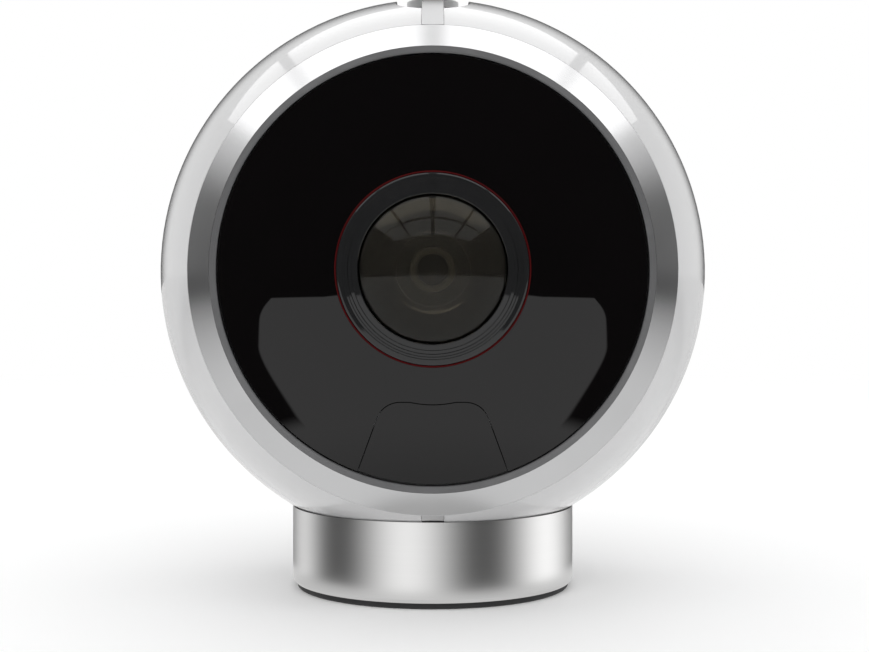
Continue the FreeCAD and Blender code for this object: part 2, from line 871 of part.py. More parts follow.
def make_swivel_post():
    """The fixed steel post that the ball turns on, with the tripod thread's bore in its foot."""
    foot = s.foot_thickness + s.post_foot_inset
    top = ball_height - post_top_drop
    groove_top = ball_height - clip_ring_drop + s.clip_ring_thickness + s.touch_gap
    groove_bottom = ball_height - clip_ring_drop - s.touch_gap
    ring_z("swivel_post", None, [
        (s.tripod_bore, foot),
        (s.post_foot, foot),
        (s.post_foot, base_plate_top),
        (post_flange, base_plate_top),
        (post_flange, cup_under),
        (s.post_radius, cup_under),
        (s.post_radius, groove_bottom),
        (s.post_radius - s.groove_depth, groove_bottom),
        (s.post_radius - s.groove_depth, groove_top),
        (s.post_radius, groove_top),
        (s.post_radius, top),
        (Size.of(0), top),
        (Size.of(0), foot + s.tripod_depth),
        (s.tripod_bore, foot + s.tripod_depth),
    ])


def make_swivel_washers():
    """The washers and the ring on the post that hold the ball down."""
    washer_z("friction_washer", ball_height, post_hole, washer_radius,
             -washer_drop, -spring_washer_drop)
    washer_z("wave_washer", ball_height, post_hole, washer_radius,
             -spring_washer_drop, -clip_ring_drop)
    washer_z("retaining_ring", ball_height, s.post_radius - s.groove_depth + s.touch_gap,
             clip_ring_radius, -clip_ring_drop, s.clip_ring_thickness - clip_ring_drop)


def make_swivel_hub():
    """The hub in the bottom of the ball, its bush, its contact ring and its two screws."""
    ring_seat = s.slip_ring_thickness + s.touch_gap - flat_drop
    bore = bush_outside + s.touch_gap
    hub_side = arc_height(s.ball_radius, s.hub_radius)
    hub = ring_z("swivel_hub", ball_height, [
        (bore, -flat_drop),
        (slip_ring_inner - s.touch_gap, -flat_drop),
        (slip_ring_inner - s.touch_gap, ring_seat),
        (slip_ring_outer + s.touch_gap, ring_seat),
        (slip_ring_outer + s.touch_gap, -flat_drop),
        (flat_radius, -flat_drop),
        Arc(s.ball_radius), (s.hub_radius, -hub_side),
        (s.hub_radius, -hub_flange_drop),
        (hub_flange_radius, -hub_flange_drop),
        (hub_flange_radius, -hub_top_drop),
        (bush_flange_radius + s.hub_gap, -hub_top_drop),
        (bush_flange_radius + s.hub_gap, -bush_seat_drop),
        (bore, -bush_seat_drop),
    ])
    sketch = sketch_on(hub, "XY_Plane")
    for side in (-1.0, 1.0):
        circle_on(sketch, 0.0, hub_screw_circle * side, s.hub_screw_shank + s.touch_gap)
    pocketed(hub, sketch)
    ring_z("swivel_bush", ball_height, [
        (post_hole, cup_floor + s.touch_gap - ball_height),
        (bush_outside, cup_floor + s.touch_gap - ball_height),
        (bush_outside, -bush_seat_drop),
        (bush_flange_radius, -bush_seat_drop),
        (bush_flange_radius, -bush_top_drop),
        (post_hole, -bush_top_drop),
    ])
    washer_z("slip_ring", ball_height, slip_ring_inner, slip_ring_outer,
             -flat_drop, s.slip_ring_thickness - flat_drop)
    screws = ball_body("hub_screws")
    sketch = sketch_on(screws, "YZ_Plane")
    at = hub_screw_circle
    upright_axis(sketch, at)
    head = -hub_screw_seat
    draw(sketch, [
        (at, -hub_screw_tip),
        (at + s.hub_screw_shank, -hub_screw_tip),
        (at + s.hub_screw_shank, head),
        (at + s.hub_screw_head, head),
        (at + s.hub_screw_head, head + s.hub_screw_head_depth),
        (at, head + s.hub_screw_head_depth),
    ])
    patterned(screws, turned(screws, sketch), "Z_Axis", 2)


def make_frame():
    """The metal frame: strips over the top and bottom, the webs under them and the mid plate."""
    body = ball_body("spine_frame")
    sketch = sketch_on(body, "YZ_Plane")
    for side in (1.0, -1.0):
        draw(sketch, [
            (-bezel_back, web_inner * side),
            (bezel_back, web_inner * side),
            (bezel_back, bezel_edge * side),
            Arc(s.ball_radius), (-bezel_back, bezel_edge * side),
        ])
    padded(body, sketch, s.strip_width, symmetric=True)
    sketch = sketch_on(body, "XZ_Plane")
    draw(sketch, box_outline(-plate_half, -plate_half, plate_half, plate_half))
    padded(body, sketch, s.plate_thickness, symmetric=True)
    sketch = sketch_on(body, "XY_Plane", guide_bottom)
    circle_on(sketch, 0.0, 0.0, guide_radius)
    padded(body, sketch, guide_top - guide_bottom)
    sketch = sketch_on(body, "XY_Plane", guide_top)
    circle_on(sketch, 0.0, 0.0, s.button_radius + s.button_ring_gap)
    pocketed(body, sketch, along_normal=True)
    cut_block(body, (-s.strip_width, -s.window_half, window_bottom),
              (s.strip_width, s.window_half, guide_bottom))
    sketch = sketch_on(body, "XY_Plane", guide_bottom)
    circle_on(sketch, 0.0, 0.0, s.stem_radius + s.stem_gap)
    pocketed(body, sketch, along_normal=True)
    end = bezel_screw_tip - s.touch_gap
    drilled(body, screw_circle, mirrored_ends(
        box_outline(end, screw_circle, bezel_back, screw_circle + s.screw_shank + s.screw_gap)), 2)
    hub = sketch_on(body, "YZ_Plane")
    below = s.ball_radius + 1.0
    draw(hub, [
        (Size.of(0), -below),
        (shell_hole, -below),
        (shell_hole, -hub_flange_drop),
        (hub_flange_radius + s.hub_gap, -hub_flange_drop),
        (hub_flange_radius + s.hub_gap, s.touch_gap - hub_top_drop),
        (well_radius, s.touch_gap - hub_top_drop),
        (well_radius, -well_drop),
        (Size.of(0), -well_drop),
    ])
    grooved(body, hub, "V_Axis")
    sketch = sketch_on(body, "YZ_Plane")
    at = hub_screw_circle
    upright_axis(sketch, at)
    shank = s.hub_screw_shank + s.touch_gap
    draw(sketch, [
        (at, -hub_top_drop - s.touch_gap),
        (at + shank, -hub_top_drop - s.touch_gap),
        (at + shank, -hub_screw_seat),
        (at + s.hub_screw_head + s.screw_gap, -hub_screw_seat),
        (at + s.hub_screw_head + s.screw_gap, -web_inner),
        (at, -web_inner),
    ])
    patterned(body, grooved(body, sketch), "Z_Axis", 2)


def make_shell(label, side):
    """One half of the gloss shell; side is 1 for the half at +X and -1 for the other."""
    body = ball_body(label)
    sketch = sketch_on(body, "YZ_Plane")
    edge = arc_height(s.ball_radius, shell_end)
    inner = arc_height(shell_inside, flange_back)
    draw(sketch, [
        (shell_end, flange_bore),
        (shell_end, edge),
        Arc(s.ball_radius), (-shell_end, edge),
        (-shell_end, flange_bore),
        (-flange_back, flange_bore),
        (-flange_back, inner),
        Arc(shell_inside), (flange_back, inner),
        (flange_back, flange_bore),
    ])
    turned(body, sketch, "H_Axis")
    reach = s.ball_radius + 1.0
    sketch = sketch_on(body, "YZ_Plane", (half_strip + s.seam_gap) * side)
    draw(sketch, box_outline(-reach, -reach, reach, reach))
    pocketed(body, sketch, along_normal=side < 0)
    sketch = sketch_on(body, "XY_Plane")
    draw(sketch, round_ended(s.recess_half_width, s.recess_half_length))
    pocketed(body, sketch, along_normal=True)
    sketch = sketch_on(body, "XY_Plane")
    circle_on(sketch, 0.0, 0.0, shell_hole)
    pocketed(body, sketch)
    drilled(body, screw_circle, mirrored_ends(box_outline(
        flange_back, screw_circle, shell_end, screw_circle + s.screw_shank + s.screw_gap)),
        s.screw_count)


def make_grille(label, side):
    """The dark perforated floor of the top recess, on one side of the strip."""
    body = ball_body(label)
    outer = shell_inside - s.seam_gap
    inner = outer - s.grille_thickness
    width = s.recess_half_width + s.grille_margin
    length = s.recess_half_length + s.grille_margin
    sketch = sketch_on(body, "XY_Plane", window_bottom)
    draw(sketch, round_ended(width, length))
    padded(body, sketch, s.ball_radius - window_bottom)
    reach = length + 1.0
    above = s.ball_radius + 1.0
    sketch = sketch_on(body, "YZ_Plane")
    draw(sketch, [
        (Size.of(0), outer),
        Arc(outer), (reach, arc_height(outer, reach)),
        (reach, above),
        (Size.of(0), above),
    ])
    grooved(body, sketch, "V_Axis")
    sketch = sketch_on(body, "YZ_Plane")
    draw(sketch, [
        (Size.of(0), web_inner),
        (reach, web_inner),
        (reach, arc_height(inner, reach)),
        Arc(inner), (Size.of(0), inner),
    ])
    grooved(body, sketch, "V_Axis")
    sketch = sketch_on(body, "YZ_Plane", (half_strip + s.seam_gap) * side)
    draw(sketch, box_outline(-above, Size.of(0), above, above))
    pocketed(body, sketch, along_normal=side < 0)
    sketch = sketch_on(body, "XY_Plane")
    circle_on(sketch, 0.0, 0.0, guide_radius + s.guide_gap)
    pocketed(body, sketch, along_normal=True)
    sketch = sketch_on(body, "XY_Plane")
    for end in (-1.0, 1.0):
        for number in range(round(s.sound_hole_count.value)):
            along = (s.sound_hole_first + s.sound_hole_pitch * number) * end
            circle_on(sketch, s.sound_hole_offset * side, along, s.sound_hole)
    pocketed(body, sketch, along_normal=True)


def make_bezel(side):
    """The satin metal cone between the shells and the gasket."""
    body = ring_y(side + "_bezel", side, [
        (bezel_back, bezel_edge),
        (gasket_top, gasket_edge),
        (gasket_seat, gasket_edge),
        (gasket_seat, bezel_bore),
        (bezel_back, bezel_bore),
    ])
    shank = screw_circle + s.screw_shank + s.screw_gap
    head = screw_circle + s.screw_head + s.screw_gap
    drilled(body, screw_circle, [[
        (bezel_back, screw_circle),
        (bezel_back, shank),
        (bezel_screw_seat, shank),
        (bezel_screw_seat, head),
        (gasket_seat, head),
        (gasket_seat, screw_circle),
    ]], s.screw_count)


def make_bezel_screws():
    """Six screws a side, through the bezels into the shells and the frame."""
    top = gasket_seat - s.touch_gap
    screws_forward("bezel_screws", screw_circle, mirrored_ends([
        (bezel_screw_tip, screw_circle),
        (bezel_screw_tip, screw_circle + s.screw_shank),
        (bezel_screw_seat, screw_circle + s.screw_shank),
        (bezel_screw_seat, screw_circle + s.screw_head),
        (top, screw_circle + s.screw_head),
        (top, screw_circle),
    ]), s.screw_count)


def make_gasket(side):
    """The soft grey ring that holds the black face."""
    inside = glass_edge + s.touch_gap
    ring_y(side + "_gasket", side, [
        (gasket_seat, gasket_edge),
        (gasket_top, gasket_edge),
        (glass_rim + s.gasket_proud, inside),
        (glass_seat, inside),
        (glass_seat, gasket_bore),
        (gasket_seat, gasket_bore),
    ])


def glass_outline(edge):
    """The outline of the domed black face out to an edge radius, as (forward, radius)."""
    seat_inner = arc_height(glass_inside, glass_seat - glass_centre)
    return [
        (glass_seat, edge),
        (glass_centre + arc_height(glass_curve, edge), edge),
        Arc(glass_curve, glass_centre), (glass_at_hole, glass_hole),
        (glass_centre + arc_height(glass_inside, glass_hole), glass_hole),
        Arc(glass_inside, glass_centre), (glass_seat, seat_inner),
    ]


def arch_outline(grow):
    """The arch of the drawer's face, with a dip for a nail, as (across, height) corners."""
    centre_x = s.arch_flat_half
    centre_z = -(arch_top + s.arch_corner)
    bend = s.arch_corner + grow
    stretch = root(s.arch_side_slope * s.arch_side_slope + 1.0)
    top = grow - arch_top
    side_x = centre_x + bend / stretch
    side_z = centre_z + bend * s.arch_side_slope / stretch
    low_z = -(glass_edge + 2.0)
    low_x = side_x + s.arch_side_slope * (side_z - low_z)
    dip_radius = cap_radius(s.arch_dip_half, s.arch_dip)
    dip_centre = dip_radius - arch_top - s.arch_dip
    dip_bend = dip_radius - grow
    dip_x = arc_height(dip_bend, top - dip_centre)
    return [
        (-low_x, low_z),
        (-side_x, side_z),
        Arc(bend, -centre_x, centre_z), (-centre_x, top),
        (-dip_x, top),
        Arc(dip_bend, 0, dip_centre), (dip_x, top),
        (centre_x, top),
        Arc(bend, centre_x, centre_z), (side_x, side_z),
        (low_x, low_z),
    ]


def make_glass(side):
    """The domed black face; the front one leaves the arch open for the drawer."""
    body = ring_y(side + "_glass", side, glass_outline(glass_edge))
    if side == FRONT:
        sketch = sketch_on(body, "XZ_Plane")
        draw(sketch, arch_outline(Size.of(0)))
        pocketed(body, sketch)


def make_drawer():
    """The card drawer: the arch of the black face with a tray behind it, and the card in it."""
    body = ring_y("card_drawer", FRONT, glass_outline(glass_edge - s.arch_gap))
    reach = s.ball_radius + 1.0
    sketch = sketch_on(body, "XZ_Plane")
    draw(sketch, box_outline(-reach, -reach, reach, reach))
    draw(sketch, arch_outline(-s.arch_gap))
    pocketed(body, sketch)
    add_block(body, (-s.tray_half_width, tray_back, -tray_bottom),
              (s.tray_half_width, tray_front, -tray_top))
    cut_block(body, (-card_slot, card_back - s.card_gap, -card_floor),
              (card_slot, card_back + s.card_length + s.card_gap, -tray_top))
    block("memory_card", ball_height, (-s.card_half_width, card_back, -card_floor),
          (s.card_half_width, card_back + s.card_length, s.card_thickness - card_floor), FRONT)


def make_card_reader():
    """The thin box that guides the drawer's tray."""
    outer = s.tray_half_width + s.reader_gap + s.reader_wall
    inner = s.tray_half_width + s.reader_gap
    low = tray_bottom + s.reader_gap
    high = tray_top - s.reader_gap
    body = block("card_reader", ball_height, (-outer, reader_back, s.touch_gap - web_inner),
                 (outer, reader_front, s.reader_wall - high), FRONT)
    cut_block(body, (-inner, reader_back + s.reader_wall, -low),
              (inner, reader_front, -high))


def make_lens(side):
    """Red ring, barrel, retaining ring, domed front lens and the lens elements behind it."""
    ring_y(side + "_accent_ring", side, box_outline(
        glass_at_hole - s.accent_depth, barrel_radius + s.touch_gap,
        glass_at_hole + s.accent_proud, barrel_radius + s.touch_gap + s.accent_width))
    ring_y(side + "_barrel", side, [
        (barrel_tail, barrel_bore),
        (barrel_tail, s.barrel_neck),
        (barrel_shoulder, s.barrel_neck),
        (barrel_shoulder, barrel_radius),
        (barrel_corner - s.barrel_chamfer, barrel_radius),
        (barrel_corner, barrel_radius - s.barrel_chamfer),
        (barrel_front, barrel_step),
        (dome_rim_top, barrel_step),
        (dome_rim_top, dome_rim + s.touch_gap),
        (dome_seat, dome_rim + s.touch_gap),
        (dome_seat, s.second_lens_radius + s.touch_gap),
        (second_lens, s.second_lens_radius + s.touch_gap),
        (second_lens, barrel_bore),
    ])
    bore = s.dome_edge + s.touch_gap
    inner = bore + s.retainer_chamfer
    retainer_front = barrel_front + (retainer_radius - inner) * s.face_slope
    ring_y(side + "_retainer", side, [
        (dome_rim_top, bore),
        (dome_rim_top, retainer_radius),
        (barrel_front, retainer_radius),
        (retainer_front, inner),
        (retainer_front - s.retainer_chamfer, bore),
    ])
    dome_inside = s.dome_curve - s.dome_wall
    ring_y(side + "_lens_dome", side, [
        (dome_centre + s.dome_curve, 0.0),
        Arc(s.dome_curve, dome_centre), (dome_seat + s.dome_step, s.dome_edge),
        (dome_rim_top, s.dome_edge),
        (dome_rim_top, dome_rim),
        (dome_seat, dome_rim),
        (dome_seat, arc_height(dome_inside, dome_seat - dome_centre)),
        Arc(dome_inside, dome_centre), (dome_centre + dome_inside, 0.0),
    ])
    body = ball_body(side + "_lens_group", side)
    for back, radius, edge, height in (
            (second_lens, s.second_lens_radius, s.second_lens_edge, s.second_lens_height),
            (third_lens, s.small_lens_radius, s.small_lens_edge, s.small_lens_height),
            (fourth_lens, s.small_lens_radius, s.small_lens_edge, s.small_lens_height)):
        curve = cap_radius(radius, height - edge)
        sketch = sketch_on(body, "YZ_Plane")
        draw(sketch, [
            (back, 0.0),
            (back, radius),
            (back + edge, radius),
            Arc(curve, back + height - curve), (back + height, 0.0),
        ])
        turned(body, sketch, "H_Axis")
    ring_y(side + "_lens_mount", side, box_outline(
        camera_board_front, s.barrel_neck + s.touch_gap, barrel_shoulder, mount_radius))


def board(label, side, half_width, back, hole):
    """A board that faces forward, with a hole at each of its four stand-offs."""
    body = block(label, ball_height, (-half_width, back, -s.board_half),
                 (half_width, back + s.board_thickness, s.board_half), side)
    sketch = sketch_on(body, "XZ_Plane")
    for across in (-1.0, 1.0):
        for up in (-1.0, 1.0):
            circle_on(sketch, standoff_side * across, standoff_side * up, hole)
    pocketed(body, sketch)
    return body


def make_boards():
    """Camera boards with their sensors, main and power boards, and what is on and between them."""
    shank_hole = s.board_screw_shank + s.board_screw_gap
    for side in SIDES:
        board(side + "_camera_board", side, s.board_half, camera_board_seat, shank_hole)
    standoff_hole = s.standoff_radius + s.standoff_gap
    board("main_board", FRONT, s.main_board_half, main_board_seat, standoff_hole)
    board("power_board", REAR, s.main_board_half, main_board_seat, standoff_hole)
    half = s.sensor_half
    sensors = block("image_sensors", ball_height, (-half, camera_board_front, -half),
                    (half, camera_board_front + s.sensor_thickness, half))
    add_block(sensors, (-half, -camera_board_front - s.sensor_thickness, -half),
              (half, -camera_board_front, half))
    half = s.processor_half
    block("processor", ball_height, (-half, plate_face, -half),
          (half, main_board_seat, half), FRONT)
    coil = ball_body("power_coil")
    sketch = sketch_on(coil, "XZ_Plane", -main_board_front - s.coil_height)
    circle_on(sketch, s.coil_offset, 0.0, s.coil_radius)
    padded(coil, sketch, s.coil_height)
    half = s.flex_half
    cables = block("flex_cables", ball_height, (flex_inside, main_board_front, -half),
                   (flex_outside, camera_board_seat, half))
    add_block(cables, (flex_inside, -camera_board_seat, -half),
              (flex_outside, -main_board_front, half))
    axis = s.standoff_circle
    screws_forward("board_standoffs", axis, mirrored_ends([
        (plate_face, axis),
        (plate_face, axis + s.standoff_foot),
        (main_board_seat, axis + s.standoff_foot),
        (main_board_seat, axis + s.standoff_radius),
        (camera_board_seat, axis + s.standoff_radius),
        (camera_board_seat, axis + shank_hole),
        (board_screw_bore_end, axis + shank_hole),
        (board_screw_bore_end, axis),
    ]), 4, 45.0)
    screws_forward("board_screws", axis, mirrored_ends([
        (board_screw_tip, axis),
        (board_screw_tip, axis + s.board_screw_shank),
        (camera_board_front, axis + s.board_screw_shank),
        (camera_board_front, axis + s.board_screw_head),
        (camera_board_front + s.board_screw_head_depth, axis + s.board_screw_head),
        (camera_board_front + s.board_screw_head_depth, axis),
    ]), 4, 45.0)


def make_button():
    """The round top button with its stem and snap ring, the push switch and its plunger."""
    crown = cap_radius(s.button_radius, s.button_crown)
    ring_z("top_button", ball_height, [
        (0.0, stem_end),
        (s.stem_radius, stem_end),
        (s.stem_radius, button_under),
        (s.button_radius, button_under),
        (s.button_radius, button_rim),
        Arc(crown, 0, button_rim + s.button_crown - crown), (0.0, button_rim + s.button_crown),
    ])
    washer_z("button_clip", ball_height, s.stem_radius + s.touch_gap / 2, clip_radius,
             clip_bottom, clip_top)
    plunger = ball_body("switch_plunger")
    sketch = sketch_on(plunger, "XY_Plane", plunger_bottom)
    circle_on(sketch, 0.0, 0.0, s.plunger_radius)
    padded(plunger, sketch, s.plunger_length)
    switch = block("button_switch", ball_height,
                   (-s.switch_half_width, -s.switch_half_length, window_bottom),
                   (s.switch_half_width, s.switch_half_length, switch_top))
    sketch = sketch_on(switch, "XY_Plane", plunger_bottom - s.button_travel - s.plunger_room)
    circle_on(sketch, 0.0, 0.0, s.plunger_radius + s.plunger_gap)
    pocketed(switch, sketch, along_normal=True)


def make_sound():
    """The speaker and the microphones beside the upper web, and the aerials behind the shells."""
    side = half_strip + s.touch_gap
    block("speaker", ball_height, (side, -s.speaker_half_length, window_bottom),
          (side + s.speaker_width, s.speaker_half_length, window_bottom + s.speaker_height))
    under = shell_inside - s.seam_gap - s.grille_thickness
    far_x = side + s.mic_width
    far_y = s.mic_offset + s.mic_half_length
    top = root(under * under - far_x * far_x - far_y * far_y) - s.touch_gap
    near_y = s.mic_offset - s.mic_half_length
    microphones = block("microphones", ball_height, (-far_x, near_y, top - s.mic_height),
                        (-side, far_y, top))
    add_block(microphones, (-far_x, -far_y, top - s.mic_height), (-side, -near_y, top))
    corner = s.antenna_half_length * s.antenna_half_length
    corner = corner + s.antenna_half_height * s.antenna_half_height
    out = root(shell_inside * shell_inside - corner) - s.touch_gap
    aerials = block("antennas", ball_height,
                    (out - s.antenna_thickness, -s.antenna_half_length, -s.antenna_half_height),
                    (out, s.antenna_half_length, s.antenna_half_height))
    add_block(aerials, (-out, -s.antenna_half_length, -s.antenna_half_height),
              (s.antenna_thickness - out, s.antenna_half_length, s.antenna_half_height))


def export_all():
    """Check every object, then write each body to a file of its own."""
    document.recompute()
    bodies = [item for item in document.Objects if item.TypeId == "PartDesign::Body"]
    for item in document.Objects:
        if {"Invalid", "Error"} & set(item.State):
            raise ValueError(f"{item.Name} failed: {item.State}")
    for body in bodies:
        if body.Shape.isNull() or not body.Shape.isValid() or not body.Shape.Solids:
            raise ValueError(f"{body.Label} has no valid solid")
    os.makedirs("parts", exist_ok=True)
    for body in bodies:
        body.Shape.exportStep(f"parts/{body.Label}.step")
        solids = len(body.Shape.Solids)
        print(f"{body.Label}: {solids} solid(s), {body.Shape.Volume:.1f} mm3")
    print(f"{len(bodies)} nodes")


make_base_housing()
make_bottom_plate()
make_base_board()
make_power_socket()
make_swivel_post()
make_swivel_washers()
make_swivel_hub()
make_frame()
make_shell("right_shell", 1.0)
make_shell("left_shell", -1.0)
make_grille("right_grille", 1.0)
make_grille("left_grille", -1.0)
make_bezel_screws()
for lens_side in SIDES:
    make_bezel(lens_side)
    make_gasket(lens_side)
    make_glass(lens_side)
    make_lens(lens_side)
make_boards()
make_drawer()
make_card_reader()
make_button()
make_sound()
export_all()
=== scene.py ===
"""Looks of a panoramic security camera: a ball with a lens on each side, on a round metal base.

Metres, +Z up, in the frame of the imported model. The front lens looks along -Y. The sizes of the
pieces are in millimetres, as in the part's source, and become metres when a mesh is made.
"""
import json
import logging
import math
from dataclasses import dataclass
from enum import Enum
from typing import Any, Dict, List, Optional, Sequence, Tuple, Union

import bpy
import numpy as np
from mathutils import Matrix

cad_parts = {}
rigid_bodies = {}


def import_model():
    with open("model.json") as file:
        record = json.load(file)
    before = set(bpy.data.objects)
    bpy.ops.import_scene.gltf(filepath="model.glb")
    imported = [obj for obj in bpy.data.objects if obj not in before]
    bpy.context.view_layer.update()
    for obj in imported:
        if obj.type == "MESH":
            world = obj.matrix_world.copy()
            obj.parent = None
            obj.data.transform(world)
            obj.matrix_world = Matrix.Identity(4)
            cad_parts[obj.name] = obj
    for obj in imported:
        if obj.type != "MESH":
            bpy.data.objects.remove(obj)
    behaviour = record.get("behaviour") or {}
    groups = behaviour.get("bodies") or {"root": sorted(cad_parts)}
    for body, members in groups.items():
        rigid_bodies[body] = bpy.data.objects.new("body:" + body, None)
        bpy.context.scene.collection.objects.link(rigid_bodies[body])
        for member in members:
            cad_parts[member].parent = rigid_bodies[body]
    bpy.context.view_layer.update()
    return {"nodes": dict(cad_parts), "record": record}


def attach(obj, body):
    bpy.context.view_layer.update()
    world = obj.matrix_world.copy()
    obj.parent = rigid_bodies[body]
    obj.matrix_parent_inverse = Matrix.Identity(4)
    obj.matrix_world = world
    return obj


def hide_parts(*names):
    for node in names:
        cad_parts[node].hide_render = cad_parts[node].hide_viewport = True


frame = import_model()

LOG = logging.getLogger("camera")
MM = 0.001
TURNS = 240
FILLET_STEPS = 6
MOST_REACH = 0.45
TINY = 1e-9

Rgb = Tuple[float, float, float]
Corner = Tuple[float, float, float]
Sockets = Dict[Union[str, int], Any]


class Axis(Enum):
    """The axis that a turned piece is round about."""

    FORWARD = "lens axis"
    UP = "upright axis"


class Side(Enum):
    """The two faces of the ball, with the sign of the Y direction that each looks in."""

    FRONT = -1.0
    REAR = 1.0

    @property
    def word(self) -> str:
        """The side's name in small letters."""
        return self.name.lower()


class Body(Enum):
    """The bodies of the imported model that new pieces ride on."""

    BASE = "base"
    BALL = "ball"
    BUTTON = "button"


# ---- shader graphs ----


class Wire:
    """A socket that carries a value. Arithmetic on it adds Math nodes."""

    def __init__(self, graph: "Graph", socket: bpy.types.NodeSocket) -> None:
        """Wrap an output socket of a graph."""
        self.graph = graph
        self.socket = socket

    def maths(self, operation: str, *values: "Value") -> "Wire":
        """The result of a Math node with some values in order."""
        return self.graph.node("ShaderNodeMath", {"operation": operation}, dict(enumerate(values)))

    def __add__(self, other: "Value") -> "Wire":
        """Sum."""
        return self.maths("ADD", self, other)

    def __radd__(self, other: "Value") -> "Wire":
        """Sum with the value on the left."""
        return self.maths("ADD", other, self)

    def __sub__(self, other: "Value") -> "Wire":
        """Difference."""
        return self.maths("SUBTRACT", self, other)

    def __rsub__(self, other: "Value") -> "Wire":
        """Difference with the value on the left."""
        return self.maths("SUBTRACT", other, self)

    def __mul__(self, other: "Value") -> "Wire":
        """Product."""
        return self.maths("MULTIPLY", self, other)

    def __truediv__(self, other: "Value") -> "Wire":
        """Quotient."""
        return self.maths("DIVIDE", self, other)

    def __pow__(self, other: "Value") -> "Wire":
        """Power."""
        return self.maths("POWER", self, other)

    def __abs__(self) -> "Wire":
        """Size without its sign."""
        return self.maths("ABSOLUTE", self)

    def above(self, low: float, high: float) -> "Wire":
        """Rise smoothly from 0 to 1.

        Args:
            low: Where the rise starts.
            high: Where it ends.

        Returns:
            The smooth step.
        """
        limits = {"From Min": low, "From Max": high, "To Min": 0.0, "To Max": 1.0}
        smooth = {"interpolation_type": "SMOOTHSTEP"}
        return self.graph.node("ShaderNodeMapRange", smooth, {"Value": self, **limits})

    def below(self, low: float, high: float) -> "Wire":
        """Fall smoothly from 1 at low to 0 at high."""
        return 1.0 - self.above(low, high)

    def most(self, other: "Value") -> "Wire":
        """The larger of two values."""
        return self.maths("MAXIMUM", self, other)

    def fraction(self) -> "Wire":
        """What is left above the whole number."""
        return self.maths("FRACT", self)


Value = Union[Wire, float]


class Graph:
    """Adds nodes to one node tree."""

    def __init__(self, tree: bpy.types.NodeTree) -> None:
        """Empty a tree, to fill it."""
        self.tree = tree
        tree.nodes.clear()

    def node(
        self,
        kind: str,
        settings: Optional[Dict[str, Any]] = None,
        sockets: Optional[Sockets] = None,
        output: Union[str, int] = 0,
    ) -> Wire:
        """Add a node of any type.

        Args:
            kind: The node's type.
            settings: Its properties, set first.
            sockets: Values or wires by socket name, identifier or place.
            output: The output to return, by name, identifier or place.

        Returns:
            A wire on that output.
        """
        made = self.tree.nodes.new(kind)
        for name, setting in (settings or {}).items():
            setattr(made, name, setting)
        for name, value in (sockets or {}).items():
            socket = self.find(made.inputs, name)
            if isinstance(value, Wire):
                self.tree.links.new(value.socket, socket)
            elif isinstance(value, tuple) and len(value) == 3 and socket.type == "RGBA":
                socket.default_value = (*value, 1.0)
            else:
                socket.default_value = value
        return Wire(self, self.find(made.outputs, output)) if len(made.outputs) else None

    @staticmethod
    def find(sockets: Any, name: Union[str, int]) -> bpy.types.NodeSocket:
        """Find a socket.

        Args:
            sockets: A node's inputs or outputs.
            name: The socket's place, identifier or name.

        Returns:
            The socket.
        """
        if isinstance(name, int):
            return sockets[name]
        for socket in sockets:
            if socket.identifier == name:
                return socket
        return sockets[name]

    def object_coords(self) -> Wire:
        """Coordinates of the piece, in metres."""
        return self.node("ShaderNodeTexCoord", output="Object")

    def parts(self, vector: Wire) -> Tuple[Wire, Wire, Wire]:
        """The X, Y and Z of a vector."""
        made = self.node("ShaderNodeSeparateXYZ", None, {"Vector": vector}).socket.node
        return tuple(Wire(self, made.outputs[axis]) for axis in "XYZ")

    def noise(self, coords: Wire, scale: float, detail: float = 2.0) -> Wire:
        """Soft noise between 0 and 1, with a scale in waves per metre and a detail in octaves."""
        waves = {"Vector": coords, "Scale": scale, "Detail": detail}
        return self.node("ShaderNodeTexNoise", None, waves, "Fac")

    def stretch(self, coords: Wire, scale: Rgb) -> Wire:
        """Coordinates times a factor for each axis."""
        return self.node("ShaderNodeMapping", None, {"Vector": coords, "Scale": scale})

    def blend(self, share: Value, first: Any, second: Any) -> Wire:
        """Mix of two colours, the second by a share from 0 to 1."""
        values = {"Factor_Float": share, "A_Color": first, "B_Color": second}
        return self.node("ShaderNodeMix", {"data_type": "RGBA"}, values, "Result_Color")

    def bump(self, height: Wire, strength: float, depth: float) -> Wire:
        """The normal of a height pattern from 0 to 1, whose 1 is a depth in metres."""
        values = {"Height": height, "Strength": strength, "Distance": depth}
        return self.node("ShaderNodeBump", None, values)


# ---- finishes ----


@dataclass(frozen=True)
class Finish:
    """What all finishes share: a name and a base colour."""

    name: str
    colour: Rgb

    def material(self) -> bpy.types.Material:
        """Build the node material.

        Returns:
            The material, with a Principled shader that the finish has filled.
        """
        made = bpy.data.materials.new(self.name)
        made.use_nodes = True
        graph = Graph(made.node_tree)
        shader = graph.node("ShaderNodeBsdfPrincipled", None, self.sockets(graph))
        graph.node("ShaderNodeOutputMaterial", None, {"Surface": shader})
        return made

    def sockets(self, graph: Graph) -> Sockets:
        """Values and wires for the Principled shader.

        Args:
            graph: The material's graph.

        Returns:
            The Principled shader's sockets by name.
        """
        raise NotImplementedError

    def mottled(self, graph: Graph, share: Wire, factor: float, lift: float = 0.0) -> Wire:
        """The colour, blended by a share with itself times a factor plus a lift."""
        other = tuple(min(1.0, c * factor + lift) for c in self.colour)
        return graph.blend(share, self.colour, other)


